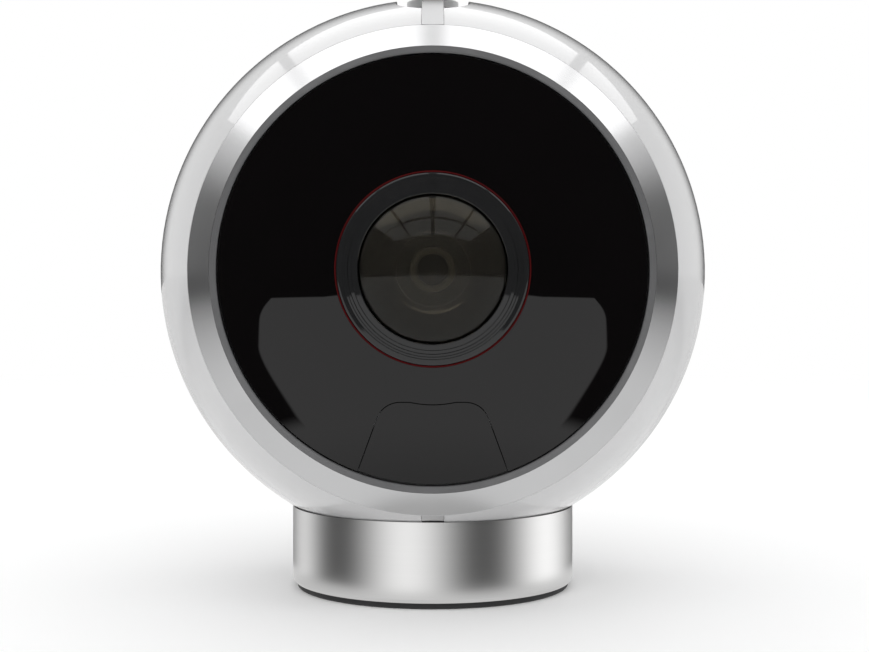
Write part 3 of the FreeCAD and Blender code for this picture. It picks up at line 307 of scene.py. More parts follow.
@dataclass(frozen=True)
class SatinMetal(Finish):
    """Bead-blasted and anodised aluminium: fine even grain, soft reflections."""

    roughness: float = 0.3
    grain: float = 9000.0
    cloud: float = 160.0
    depth: float = 0.000004

    def sockets(self, graph: Graph) -> Sockets:
        """Metal with fine grain in its normal and slow changes in colour and roughness.

        Args:
            graph: The material's graph.

        Returns:
            The Principled shader's sockets by name.
        """
        coords = graph.object_coords()
        grain = graph.noise(coords, self.grain, 3.0)
        cloud = graph.noise(coords, self.cloud)
        return {
            "Base Color": self.mottled(graph, cloud, 1.05),
            "Metallic": 1.0,
            "Roughness": self.roughness - 0.02 + cloud * 0.03 + grain * 0.02,
            "Normal": graph.bump(grain, 0.35, self.depth),
        }


@dataclass(frozen=True)
class TurnedMetal(Finish):
    """Metal turned on a lathe: hair-fine lines that run round the upright axis."""

    roughness: float = 0.34
    spread: float = 0.75
    fine_lines: Rgb = (60.0, 60.0, 9000.0)
    broad_lines: Rgb = (30.0, 30.0, 1400.0)
    darker: float = 0.93
    depth: float = 0.000003

    def sockets(self, graph: Graph) -> Sockets:
        """Metal with stacked lines along Z that spread its reflections upright.

        Args:
            graph: The material's graph.

        Returns:
            The Principled shader's sockets by name.
        """
        coords = graph.object_coords()
        lines = graph.noise(graph.stretch(coords, self.fine_lines), 1.0, 3.0)
        broad = graph.noise(graph.stretch(coords, self.broad_lines), 1.0)
        darker = tuple(c * self.darker for c in self.colour)
        return {
            "Base Color": graph.blend(lines * 0.6 + broad * 0.4, darker, self.colour),
            "Metallic": 1.0,
            "Roughness": self.roughness - 0.03 + lines * 0.06,
            "Anisotropic": self.spread,
            "Normal": graph.bump(lines, 0.25, self.depth),
        }


@dataclass(frozen=True)
class GlossShell(Finish):
    """Pearl-white lacquer over plastic: pale, smooth and glossy, with a faint orange peel."""

    roughness: float = 0.22
    pearl: float = 4200.0
    peel: float = 420.0
    depth: float = 0.00001

    def sockets(self, graph: Graph) -> Sockets:
        """Pale plastic under a clear coat with the slight waviness of sprayed lacquer.

        Args:
            graph: The material's graph.

        Returns:
            The Principled shader's sockets by name.
        """
        coords = graph.object_coords()
        pearl = graph.noise(coords, self.pearl, 1.0)
        peel = graph.noise(coords, self.peel, 1.0)
        return {
            "Base Color": self.mottled(graph, pearl, 1.04),
            "Roughness": self.roughness + pearl * 0.03,
            "Specular IOR Level": 0.2,
            "Coat Weight": 1.0,
            "Coat Roughness": 0.02,
            "Coat IOR": 1.5,
            "Normal": graph.bump(peel, 0.06, self.depth),
        }


@dataclass(frozen=True)
class Rubber(Finish):
    """Moulded silicone or rubber: matt, with a fine skin and a little dust."""

    roughness: float = 0.62
    gloss: float = 0.4
    skin: float = 5200.0
    patches: float = 240.0
    depth: float = 0.000008

    def sockets(self, graph: Graph) -> Sockets:
        """Matt surface with a fine skin texture and slightly paler rubbed places.

        Args:
            graph: The material's graph.

        Returns:
            The Principled shader's sockets by name.
        """
        coords = graph.object_coords()
        skin = graph.noise(coords, self.skin, 3.0)
        rubbed = graph.noise(coords, self.patches).above(0.45, 0.8)
        return {
            "Base Color": self.mottled(graph, rubbed * 0.6, 1.25, 0.004),
            "Roughness": self.roughness - rubbed * 0.06 + skin * 0.05,
            "Specular IOR Level": self.gloss,
            "Normal": graph.bump(skin, 0.3, self.depth),
        }


@dataclass(frozen=True)
class BlackGloss(Finish):
    """Polished black face: a mirror-smooth window with the faintest haze."""

    roughness: float = 0.015
    ior: float = 1.48
    haze: float = 90.0

    def sockets(self, graph: Graph) -> Sockets:
        """Near-black body, reflections sharp but for a barely visible haze.

        Args:
            graph: The material's graph.

        Returns:
            The Principled shader's sockets by name.
        """
        haze = graph.noise(graph.object_coords(), self.haze)
        return {
            "Base Color": self.mottled(graph, haze, 1.6),
            "Roughness": self.roughness + haze * 0.012,
            "IOR": self.ior,
        }


@dataclass(frozen=True)
class Anodised(Finish):
    """Dark or coloured anodising with a fine grain, shaded as a coat that hides the metal."""

    roughness: float = 0.38
    gloss: float = 0.5
    grain: float = 7000.0
    sheen: float = 260.0
    depth: float = 0.000003

    def sockets(self, graph: Graph) -> Sockets:
        """Fine grain with slow changes of sheen.

        Args:
            graph: The material's graph.

        Returns:
            The Principled shader's sockets by name.
        """
        coords = graph.object_coords()
        grain = graph.noise(coords, self.grain)
        slow = graph.noise(coords, self.sheen)
        return {
            "Base Color": self.mottled(graph, slow, 1.3),
            "Specular IOR Level": self.gloss,
            "Roughness": self.roughness + slow * 0.05 + grain * 0.02,
            "Normal": graph.bump(grain, 0.2, self.depth),
        }


@dataclass(frozen=True)
class CoatedGlass(Finish):
    """Lens glass that tints what is seen through it.

    An index below real glass's 1.5 is given. It stands for an anti-reflection coating, and
    it also bends the light less than real glass would.
    """

    ior: float = 1.5
    clear: float = 1.0
    streaks: Rgb = (300.0, 300.0, 90.0)

    def sockets(self, graph: Graph) -> Sockets:
        """Clear glass, its roughness barely above nothing where it has been wiped.

        Args:
            graph: The material's graph.

        Returns:
            The Principled shader's sockets by name.
        """
        wiped = graph.noise(graph.stretch(graph.object_coords(), self.streaks), 1.0)
        return {
            "Base Color": self.mottled(graph, wiped, 0.985),
            "Roughness": wiped * 0.004,
            "IOR": self.ior,
            "Transmission Weight": self.clear,
        }


@dataclass(frozen=True)
class DomeGlass(CoatedGlass):
    """The front lens: its outside mirrors softly, and the hollow behind it hardly at all.

    Both indices are set to the photograph, well below real glass's.
    """

    ior: float = 1.1
    clear: float = 0.993
    coat_ior: float = 1.24
    inner_coat: float = 0.05
    centre: Rgb = (0.0, 0.024466, 0.046359)
    outside: float = 0.0131
    edge: float = 0.0002

    def sockets(self, graph: Graph) -> Sockets:
        """Clear glass with a coat that is full on the outer sphere and weak on the inner one.

        Args:
            graph: The material's graph.

        Returns:
            The Principled shader's sockets by name.
        """
        coords = graph.object_coords()
        mirrored = graph.node("ShaderNodeVectorMath", {"operation": "ABSOLUTE"}, {0: coords})
        points = {0: mirrored, 1: self.centre}
        away = graph.node("ShaderNodeVectorMath", {"operation": "DISTANCE"}, points, "Value")
        outer = away.above(self.outside - self.edge, self.outside)
        return {
            **super().sockets(graph),
            "Coat Weight": self.inner_coat + outer * (1.0 - self.inner_coat),
            "Coat Roughness": 0.0,
            "Coat IOR": self.coat_ior,
        }


@dataclass(frozen=True)
class Plastic(Finish):
    """Moulded plastic with a fine spark-eroded texture."""

    roughness: float = 0.48
    texture: float = 3600.0
    tone: float = 200.0
    depth: float = 0.000012

    def sockets(self, graph: Graph) -> Sockets:
        """Fine moulded texture with small changes of tone.

        Args:
            graph: The material's graph.

        Returns:
            The Principled shader's sockets by name.
        """
        coords = graph.object_coords()
        texture = graph.noise(coords, self.texture, 3.0)
        slow = graph.noise(coords, self.tone)
        return {
            "Base Color": self.mottled(graph, slow, 1.12, 0.002),
            "Roughness": self.roughness + texture * 0.06,
            "Normal": graph.bump(texture, 0.25, self.depth),
        }


@dataclass(frozen=True)
class CircuitBoard(Finish):
    """Solder mask over copper tracks, with plated pads."""

    tin: Rgb = (0.62, 0.6, 0.55)
    tracks: float = 900.0
    wander: float = 500.0
    pads: float = 420.0
    depth: float = 0.00002

    def sockets(self, graph: Graph) -> Sockets:
        """Tracks on a fine grid show as paler lines, pads as tinned spots.

        Args:
            graph: The material's graph.

        Returns:
            The Principled shader's sockets by name.
        """
        coords = graph.object_coords()
        across, _, up = graph.parts(coords)
        wander = graph.noise(coords, self.wander, 1.0)
        track = abs((across * self.tracks + wander * 2.0).fraction() - 0.5)
        rail = abs((up * self.tracks + wander).fraction() - 0.5)
        lines = track.below(0.08, 0.14).most(rail.below(0.06, 0.12) * 0.6)
        spots = {"Vector": coords, "Scale": self.pads}
        pads = graph.node("ShaderNodeTexVoronoi", {"feature": "F1"}, spots, "Distance")
        pads = pads.below(0.12, 0.16)
        masked = self.mottled(graph, lines, 1.6, 0.01)
        return {
            "Base Color": graph.blend(pads, masked, self.tin),
            "Metallic": pads * 0.9,
            "Roughness": 0.36 - pads * 0.08,
            "Normal": graph.bump(lines, 0.3, self.depth),
        }


@dataclass(frozen=True)
class BareMetal(Finish):
    """Plain machined metal such as steel or brass, with fine scratches."""

    roughness: float = 0.28
    scratches: Rgb = (4000.0, 500.0, 4000.0)
    tone: float = 300.0
    depth: float = 0.000004

    def sockets(self, graph: Graph) -> Sockets:
        """Fine scratches across one direction and slow changes of tone.

        Args:
            graph: The material's graph.

        Returns:
            The Principled shader's sockets by name.
        """
        coords = graph.object_coords()
        scratch = graph.noise(graph.stretch(coords, self.scratches), 1.0, 3.0)
        slow = graph.noise(coords, self.tone)
        return {
            "Base Color": self.mottled(graph, slow, 0.88),
            "Metallic": 1.0,
            "Roughness": self.roughness - 0.04 + scratch * 0.1,
            "Normal": graph.bump(scratch, 0.15, self.depth),
        }


BEZEL_METAL = SatinMetal("bezel_metal", (0.57, 0.57, 0.575), roughness=0.225)
BUTTON_METAL = SatinMetal("button_metal", (0.9, 0.9, 0.9), roughness=0.62)
BASE_METAL = TurnedMetal("base_metal", (0.68, 0.677, 0.673))
SHELL_LACQUER = GlossShell("shell_lacquer", (0.575, 0.575, 0.58))
GASKET_RUBBER = Rubber("gasket_rubber", (0.094, 0.094, 0.097), roughness=0.45, gloss=0.6)
FOOT_RUBBER = Rubber("foot_rubber", (0.022, 0.022, 0.023), roughness=0.7)
FACE_BLACK = BlackGloss("face_black", (0.0012, 0.0009, 0.001))
BARREL_BLACK = Anodised("barrel_black", (0.0098, 0.01, 0.0104), roughness=0.0)
IRIS_BLACK = Anodised("iris_black", (0.03, 0.03, 0.029), roughness=0.25)
ACCENT_RED = Anodised("accent_red", (0.065, 0.0003, 0.001), roughness=0.5, gloss=0.1)
DOME_GLASS = DomeGlass("dome_glass", (0.95, 0.89, 0.76))
INNER_GLASS = CoatedGlass("inner_glass", (0.86, 0.85, 0.8), ior=1.12)
GRILLE_BLACK = Plastic("grille_black", (0.012, 0.012, 0.013))
BLACK_PLASTIC = Plastic("black_plastic", (0.02, 0.02, 0.022))
WHITE_PLASTIC = Plastic("white_plastic", (0.7, 0.69, 0.66), roughness=0.42)
BOARD_GREEN = CircuitBoard("board_green", (0.008, 0.05, 0.022))
FLEX_AMBER = Plastic("flex_amber", (0.45, 0.2, 0.04), roughness=0.35)
INNER_METAL = BareMetal("inner_metal", (0.6, 0.6, 0.62))
STEEL = BareMetal("steel", (0.56, 0.56, 0.57))
BRASS = BareMetal("brass", (0.72, 0.5, 0.2))


class Paints:
    """Keeps one material for each finish."""

    def __init__(self) -> None:
        """Start with none made."""
        self.made: Dict[str, bpy.types.Material] = {}

    def of(self, finish: Finish) -> bpy.types.Material:
        """Find the material of a finish, made when first asked for.

        Args:
            finish: The finish.

        Returns:
            Its material.
        """
        if finish.name not in self.made:
            self.made[finish.name] = finish.material()
        return self.made[finish.name]


PAINTS = Paints()


# ---- shapes ----


@dataclass(frozen=True)
class Outline:
    """A profile in millimetres, as rows of (radius, height), with its outward normals."""

    points: np.ndarray
    normals: np.ndarray
    closed: bool

    @classmethod
    def rounded(cls, corners: Sequence[Corner], closed: bool = True) -> "Outline":
        """Round the corners of an outline.

        At a corner the direction turns by an angle. An arc of the corner's bend radius touches
        both sides: its centre lies one bend radius inside along the first side's normal, and its
        points follow that normal turned in even steps through the angle. A bend is cut short where
        it would pass most of half a side. A bend of 0 keeps the corner as one point with the mean
        normal, for points that already lie on a curve.

        Args:
            corners: Rows of (radius, height, bend). The material may lie on either side.
            closed: Whether the outline is a loop. An open one starts and ends on the axis.

        Returns:
            The outline, with normals that point out of the material.
        """
        rows = np.array(corners, float)
        loop = rows[:, :2]
        following = np.roll(loop, -1, axis=0)
        area = np.sum(loop[:, 0] * following[:, 1] - following[:, 0] * loop[:, 1])
        if area < 0.0:
            rows = rows[::-1]
            loop = rows[:, :2]
        before = loop - np.roll(loop, 1, axis=0)
        after = np.roll(loop, -1, axis=0) - loop
        lengths = np.linalg.norm(before, axis=1), np.linalg.norm(after, axis=1)
        before = before / lengths[0][:, None]
        after = after / lengths[1][:, None]
        cross = before[:, 0] * after[:, 1] - before[:, 1] * after[:, 0]
        turn = np.arctan2(cross, np.sum(before * after, axis=1))
        half = np.tan(np.abs(turn) / 2.0)
        reach = np.minimum(rows[:, 2] * half, MOST_REACH * np.minimum(*lengths))
        bend = reach / np.maximum(half, TINY)
        normal = np.stack([before[:, 1], -before[:, 0]], axis=1)
        sense = np.sign(turn)[:, None]
        centre = loop - before * reach[:, None] - sense * normal * bend[:, None]
        share = np.linspace(0.0, 1.0, FILLET_STEPS + 1)
        angle = turn[:, None] * share[None, :]
        cosine, sine = np.cos(angle), np.sin(angle)
        turned = np.stack([
            normal[:, None, 0] * cosine - normal[:, None, 1] * sine,
            normal[:, None, 0] * sine + normal[:, None, 1] * cosine,
        ], axis=2)
        points = centre[:, None, :] + sense[:, None, :] * turned * bend[:, None, None]
        keep = np.ones(points.shape[:2], bool)
        flat = rows[:, 2] <= 0.0
        keep[flat] = False
        keep[flat, FILLET_STEPS // 2] = True
        points = np.where(flat[:, None, None], loop[:, None, :], points)
        found, normals = points[keep], turned[keep]
        if not closed:
            on_axis = found[:, 0] < TINY
            shift = int(np.flatnonzero(on_axis & ~np.roll(on_axis, -1))[0])
            found = np.roll(found, -shift, axis=0)
            normals = np.roll(normals, -shift, axis=0)
            normals[[0, -1]] = np.stack([np.zeros(2), np.sign(normals[[0, -1], 1])], axis=1)
        return cls(found, normals, closed)


def arc(radius: float, centre: float, start: float, end: float, count: int) -> List[Corner]:
    """Points of a circle whose centre is on the axis, evenly spaced by angle.

    Args:
        radius: The circle's radius.
        centre: Height of its centre on the axis.
        start: Distance from the axis of the first point.
        end: Distance from the axis of the last point.
        count: How many points.

    Returns:
        Corners with no bend, on the side of the circle that faces up.
    """
    angles = np.linspace(math.asin(start / radius), math.asin(end / radius), count)
    across, up = radius * np.sin(angles), centre + radius * np.cos(angles)
    return [(float(a), float(b), 0.0) for a, b in zip(across, up)]


def mesh_from(
    name: str, points: np.ndarray, faces: List[Sequence[int]], normals: np.ndarray
) -> bpy.types.Object:
    """Make a smooth-shaded object at the origin, its faces turned to agree with the normals.

    Args:
        name: The object's name.
        points: Vertices in metres.
        faces: Vertex numbers of each face.
        normals: The exact normal at each vertex.

    Returns:
        The object.
    """
    mesh = bpy.data.meshes.new(name)
    mesh.from_pydata(points.tolist(), [], faces)
    mesh.update()
    facing = np.empty(len(mesh.polygons) * 3)
    mesh.polygons.foreach_get("normal", facing)
    first = np.empty(len(mesh.polygons), int)
    mesh.polygons.foreach_get("loop_start", first)
    loops = np.empty(len(mesh.loops), int)
    mesh.loops.foreach_get("vertex_index", loops)
    if np.sum(facing.reshape(-1, 3) * normals[loops[first]]) < 0.0:
        mesh.flip_normals()
    mesh.polygons.foreach_set("use_smooth", np.ones(len(mesh.polygons), bool))
    mesh.normals_split_custom_set_from_vertices(normals.tolist())
    mesh.update()
    made = bpy.data.objects.new(name, mesh)
    bpy.context.scene.collection.objects.link(made)
    return made


@dataclass(frozen=True)
class Turning:
    """Where a turned piece stands: its axis, the side it faces and its centre's height."""

    axis: Axis
    height: float
    side: Side = Side.FRONT

    def place(self, rows: np.ndarray, scale: float) -> np.ndarray:
        """Move rows of (across, up the picture, along the axis) to their place.

        Args:
            rows: The rows.
            scale: Factor from the rows' unit to metres, or 1 for directions.

        Returns:
            The rows as X, Y and Z.
        """
        made = rows.copy()
        if self.axis is Axis.FORWARD:
            made = np.stack([rows[:, 0], rows[:, 2] * self.side.value, rows[:, 1]], axis=1)
        lift = self.height if scale != 1.0 else 0.0
        return (made + np.array([0.0, 0.0, lift])) * scale

    @staticmethod
    def around(rows: np.ndarray) -> np.ndarray:
        """Turn rows of (radius, height), each into a ring of (r cos a, r sin a, h).

        Args:
            rows: The rows.

        Returns:
            The rings one after another, as one list of points.
        """
        angle = np.linspace(0.0, 2.0 * math.pi, TURNS, endpoint=False)
        level = np.broadcast_to(rows[:, None, 1], (len(rows), TURNS))
        across, along = rows[:, None, 0] * np.cos(angle), rows[:, None, 0] * np.sin(angle)
        return np.stack([across, along, level], axis=2).reshape(-1, 3)

    def revolve(self, name: str, outline: Outline) -> bpy.types.Object:
        """Turn an outline about the axis.

        A point at radius r and height h becomes (r cos a, r sin a, h) for even steps of the
        angle a, and its normal turns with it. Neighbouring rings are joined by four-sided faces.
        The ends of an open outline are single points on the axis, closed by a fan of triangles.
        Each end's point comes after all rings, the first one's before the last one's.

        Args:
            name: The object's name.
            outline: The profile.

        Returns:
            The object.
        """
        core = outline.points if outline.closed else outline.points[1:-1]
        lean = outline.normals if outline.closed else outline.normals[1:-1]
        rings = len(core)
        points, normals = self.around(core), self.around(lean)
        spans = rings if outline.closed else rings - 1
        ring = np.arange(spans)[:, None] * TURNS
        upper = (np.arange(spans)[:, None] + 1) % rings * TURNS
        here = np.arange(TURNS)[None, :]
        beside = (here + 1) % TURNS
        quads = np.stack([ring + here, ring + beside, upper + beside, upper + here], axis=2)
        faces: List[Sequence[int]] = quads.reshape(-1, 4).tolist()
        if not outline.closed:
            count = len(points)
            points, normals = (
                np.vstack([ringed, [[0, 0, rows[0, 1]], [0, 0, rows[-1, 1]]]])
                for ringed, rows in ((points, outline.points), (normals, outline.normals))
            )
            last = (rings - 1) * TURNS
            start = np.stack([np.full(TURNS, count), beside[0], here[0]], axis=1)
            end = np.stack([np.full(TURNS, count + 1), last + here[0], last + beside[0]], axis=1)
            faces = faces + start.tolist() + end.tolist()
        return mesh_from(name, self.place(points, MM), faces, self.place(normals, 1.0))


def dress(piece: bpy.types.Object, finish: Finish) -> None:
    """Give a piece or a CAD node the one material of a finish."""
    piece.data.materials.clear()
    piece.data.materials.append(PAINTS.of(finish))


def finish_piece(
    piece: bpy.types.Object, body: Body, finish: Finish, stands_for: Sequence[str] = ()
) -> bpy.types.Object:
    """Dress a new piece and join it to the model.

    Args:
        piece: The new piece.
        body: The body that it moves with.
        finish: Its finish.
        stands_for: CAD nodes that it is shown instead of.

    Returns:
        The piece.
    """
    dress(piece, finish)
    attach(piece, body.value)
    if stands_for:
        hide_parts(*stands_for)
    LOG.info("%s: %d faces", piece.name, len(piece.data.polygons))
    return piece


@dataclass
class LensFace:
    """One face of the ball: bezel, gasket, black dome, barrel and lens. Millimetres."""

    side: Side
    ball_height: float = 46.359
    bezel_back: float = 22.251
    bezel_edge: float = 33.24
    bezel_bore: float = 27.0
    gasket_top: float = 26.86
    gasket_edge: float = 29.64
    gasket_seat: float = 25.2
    gasket_bore: float = 27.2
    gasket_inside: float = 28.58
    gasket_lip: float = 28.12
    glass_seat: float = 26.5
    glass_edge: float = 28.35
    glass_curve: float = 65.438
    glass_centre: float = -31.037
    glass_wall: float = 1.8
    glass_hole: float = 12.7
    glass_at_hole: float = 33.156
    barrel_radius: float = 12.4
    barrel_front: float = 33.956
    barrel_corner: float = 33.789
    barrel_fillet: float = 0.52
    barrel_step: float = 10.95
    barrel_neck: float = 11.0
    barrel_shoulder: float = 22.0
    barrel_bore: float = 5.2
    barrel_tail: float = 12.2
    face_slope: float = 0.176
    groove: float = 0.045
    second_lens: float = 25.606
    second_radius: float = 8.9
    dome_seat: float = 31.406
    dome_rim_top: float = 32.206
    dome_rim: float = 10.4
    dome_edge: float = 9.4
    dome_curve: float = 13.4
    dome_centre: float = 24.466
    dome_wall: float = 1.6
    hollow_curve: float = 7.0
    retainer_radius: float = 10.9
    lens_gap: float = 0.24
    ring_gap: float = 0.05
    accent_width: float = 0.2
    accent_depth: float = 1.6
    accent_proud: float = 0.1
    iris_bore: float = 2.2
    iris_edge: float = 3.1
    iris_back: float = 0.5
    iris_front: float = 0.1
    barrel_grooves: Tuple[float, ...] = (11.62, 11.3)
    lock_grooves: Tuple[float, ...] = (10.45,)
    fine: float = 0.01

    def __post_init__(self) -> None:
        """Work out where the pieces of this face are turned."""
        self.lathe = Turning(Axis.FORWARD, self.ball_height, self.side)

    def turned(
        self, name: str, corners: Sequence[Corner], finish: Finish, slot: str, node: str = "",
        closed: bool = True,
    ) -> bpy.types.Object:
        """Make one turned piece of the face.

        Args:
            name: What the piece is called after its side's name.
            corners: Its outline as (radius, forward, bend).
            finish: Its finish.
            slot: The record's material slot. It is not used.
            node: The CAD node that it stands for, without its side, or nothing.
            closed: Whether the outline is a loop.

        Returns:
            The piece.
        """
        piece = self.lathe.revolve(f"{self.side.word}_{name}", Outline.rounded(corners, closed))
        stands_for = [f"{self.side.word}_{node}"] if node else []
        return finish_piece(piece, Body.BALL, finish, stands_for)

    def build(self) -> None:
        """Make every piece of the face."""
        self.bezel()
        self.gasket()
        self.barrel()
        self.lens()
        if self.side is Side.REAR:
            self.plain_glass()

    def bezel(self) -> None:
        """The satin cone, its edges broken so that they catch the light."""
        self.turned("bezel_cone", [
            (self.bezel_bore, self.bezel_back, 0.1),
            (self.bezel_edge, self.bezel_back, 0.04),
            (self.gasket_edge, self.gasket_top, 0.04),
            (self.gasket_edge, self.gasket_seat, 0.05),
            (self.bezel_bore, self.gasket_seat, 0.1),
        ], BEZEL_METAL, "bezel_metal", "bezel")

    def gasket(self) -> None:
        """The soft grey ring between the cone and the black dome."""
        self.turned("gasket_ring", [
            (self.gasket_bore, self.gasket_seat, 0.1),
            (self.gasket_edge, self.gasket_seat, 0.05),
            (self.gasket_edge, self.gasket_top, 0.12),
            (self.gasket_inside, self.gasket_lip, 0.14),
            (self.gasket_inside, self.glass_seat, 0.03),
            (self.gasket_bore, self.glass_seat, 0.1),
        ], GASKET_RUBBER, "grey_rubber", "gasket")

    def glass_corners(self) -> List[Corner]:
        """Outline of the black dome from its edge to the lens hole.

        Returns:
            The corners, along the outer sphere and back along the inner one.
        """
        inner = self.glass_curve - self.glass_wall
        seat = math.sqrt(inner**2 - (self.glass_seat - self.glass_centre) ** 2)
        outside = arc(self.glass_curve, self.glass_centre, self.glass_edge, self.glass_hole, 28)
        inside = arc(inner, self.glass_centre, self.glass_hole, seat, 20)
        first, last = outside[0], outside[-1]
        return [
            (self.glass_edge, self.glass_seat, 0.1),
            (first[0], first[1], 0.12),
            *outside[1:-1],
            (last[0], last[1], 0.1),
            (inside[0][0], inside[0][1], 0.1),
            *inside[1:-1],
            (seat, self.glass_seat, 0.05),
        ]

    def plain_glass(self) -> None:
        """The rear black dome, which has no drawer."""
        self.turned("glass_dome", self.glass_corners(), FACE_BLACK, "face_black", "glass")

    def grooved_face(self, radii: Sequence[float]) -> List[Corner]:
        """Corners of fine turned grooves in the sloping face round the lens.

        The face rises inwards by the slope times the distance from its outer edge. A groove is
        three corners: its two lips on the face, and its bottom one groove's depth behind.

        Args:
            radii: Where the grooves are, from the outside in.

        Returns:
            The corners.
        """
        corners: List[Corner] = []
        for radius in radii:
            level = self.barrel_front + (self.barrel_step - radius) * self.face_slope
            lean = self.groove * self.face_slope
            corners += [
                (radius + self.groove, level - lean, self.fine),
                (radius, level - self.groove, self.fine),
                (radius - self.groove, level + lean, self.fine),
            ]
        return corners

    def barrel(self) -> None:
        """The lens barrel with its sloping front ring, and the red ring round it."""
        gap = self.ring_gap
        self.turned("barrel_body", [
            (self.barrel_bore, self.barrel_tail, 0.1),
            (self.barrel_neck, self.barrel_tail, 0.1),
            (self.barrel_neck, self.barrel_shoulder, 0.1),
            (self.barrel_radius, self.barrel_shoulder, 0.1),
            (self.barrel_radius, self.barrel_corner, self.barrel_fillet),
            *self.grooved_face(self.barrel_grooves),
            (self.barrel_step, self.barrel_front, 0.03),
            (self.barrel_step, self.dome_rim_top, 0.03),
            (self.dome_rim + gap, self.dome_rim_top, 0.03),
            (self.dome_rim + gap, self.dome_seat, 0.03),
            (self.second_radius + gap, self.dome_seat, 0.05),
            (self.second_radius + gap, self.second_lens, 0.05),
            (self.barrel_bore, self.second_lens, 0.08),
        ], BARREL_BLACK, "barrel_black", "barrel")
        low = self.glass_at_hole - self.accent_depth
        top = self.glass_at_hole + self.accent_proud
        inside = self.barrel_radius + gap
        self.turned("red_ring", [
            (inside, low, 0.03),
            (inside + self.accent_width, low, 0.03),
            (inside + self.accent_width, top, 0.06),
            (inside, top, 0.06),
        ], ACCENT_RED, "accent_red", "accent_ring")

    def lens(self) -> None:
        """The retaining ring, the domed front lens and the iris behind it."""
        inner = self.dome_edge + self.lens_gap
        front = self.barrel_front + (self.retainer_radius - inner) * self.face_slope
        self.turned("lock_ring", [
            (inner, self.dome_rim_top, 0.05),
            (self.retainer_radius, self.dome_rim_top, 0.05),
            (self.retainer_radius, self.barrel_front, 0.04),
            *self.grooved_face(self.lock_grooves),
            (inner, front, 0.12),
        ], BARREL_BLACK, "barrel_black", "retainer")
        hollow = self.hollow_curve
        hollow_centre = self.dome_centre + self.dome_curve - self.dome_wall - hollow
        inner_edge = math.sqrt(hollow**2 - (self.dome_seat - hollow_centre) ** 2)
        outside = arc(self.dome_curve, self.dome_centre, 0.0, self.dome_edge, 40)
        inside = arc(hollow, hollow_centre, inner_edge, 0.0, 36)
        self.turned("front_element", [
            *outside[:-1],
            (outside[-1][0], outside[-1][1], 0.04),
            (self.dome_edge, self.dome_rim_top, 0.04),
            (self.dome_rim, self.dome_rim_top, 0.05),
            (self.dome_rim, self.dome_seat, 0.05),
            (inside[0][0], inside[0][1], 0.04),
            *inside[1:],
        ], DOME_GLASS, "lens_glass", "lens_dome", closed=False)
        low = self.second_lens - self.iris_back
        top = self.second_lens - self.iris_front
        edge = self.iris_edge
        self.turned("iris_ring", [
            (self.iris_bore, low, 0.03),
            (edge, low, 0.03),
            (edge, top, 0.05),
            (self.iris_bore + 0.3, top, 0.05),
            (self.iris_bore, top - 0.2, 0.04),
        ], IRIS_BLACK, "barrel_black")
        bore = self.barrel_bore - self.ring_gap
        self.turned("iris_plate", [
            (edge + 0.02, low, 0.03),
            (bore, low, 0.03),
            (bore, top - 0.1, 0.05),
            (edge + 0.02, top - 0.1, 0.03),
        ], BARREL_BLACK, "barrel_black")


@dataclass
class TopButton:
    """The round button on top of the ball. Millimetres from the ball centre."""

    ball_height: float = 46.359
    radius: float = 3.82
    rim: float = 40.14
    crown: float = 0.24
    thickness: float = 1.29
    stem: float = 1.5
    stem_end: float = 33.61

    def build(self) -> None:
        """Make the crowned cap and its stem as one turned piece."""
        curve = (self.radius**2 + self.crown**2) / (2.0 * self.crown)
        crowned = arc(curve, self.rim + self.crown - curve, 0.0, self.radius, 16)
        under = self.rim - self.thickness
        outline = Outline.rounded([
            *crowned[:-1],
            (self.radius, self.rim, 0.8),
            (self.radius, under, 0.12),
            (self.stem, under, 0.15),
            (self.stem, self.stem_end, 0.2),
            (0.0, self.stem_end, 0.0),
        ], closed=False)
        piece = Turning(Axis.UP, self.ball_height).revolve("button_cap", outline)
        finish_piece(piece, Body.BUTTON, BUTTON_METAL, ["top_button"])


@dataclass
class Foot:
    """The rubber foot under the base. Millimetres from the floor."""

    hole: float = 3.6
    radius: float = 20.1
    thickness: float = 0.88

    def build(self) -> None:
        """Make the ring with a rolled lower edge."""
        outline = Outline.rounded([
            (self.hole, 0.0, 0.2),
            (self.radius, 0.0, 0.35),
            (self.radius, self.thickness, 0.08),
            (self.hole, self.thickness, 0.1),
        ])
        piece = Turning(Axis.UP, 0.0).revolve("foot_ring", outline)
        finish_piece(piece, Body.BASE, FOOT_RUBBER, ["base_foot"])


class CadNodes:
    """The CAD nodes that stay, each with the finish of its material slot."""

    FINISHES: Dict[str, Finish] = {
        "shell": SHELL_LACQUER,
        "bezel_metal": BEZEL_METAL,
        "base_metal": BASE_METAL,
        "inner_metal": INNER_METAL,
        "grey_rubber": GASKET_RUBBER,
        "foot_rubber": FOOT_RUBBER,
        "face_black": FACE_BLACK,
        "accent_red": ACCENT_RED,
        "barrel_black": BARREL_BLACK,
        "lens_glass": INNER_GLASS,
        "grille_black": GRILLE_BLACK,
        "black_plastic": BLACK_PLASTIC,
        "white_plastic": WHITE_PLASTIC,
        "board_green": BOARD_GREEN,
        "flex_amber": FLEX_AMBER,
        "steel": STEEL,
        "brass": BRASS,
    }

    def build(self) -> None:
        """Dress every CAD node by the slot that the record gives it."""
        for row in frame["record"]["subparts"]:
            node = frame["nodes"][row["node"]]
            dress(node, self.FINISHES[row["material_slot"]])
        LOG.info("dressed %d CAD nodes", len(frame["nodes"]))


# ---- floor, light and camera ----


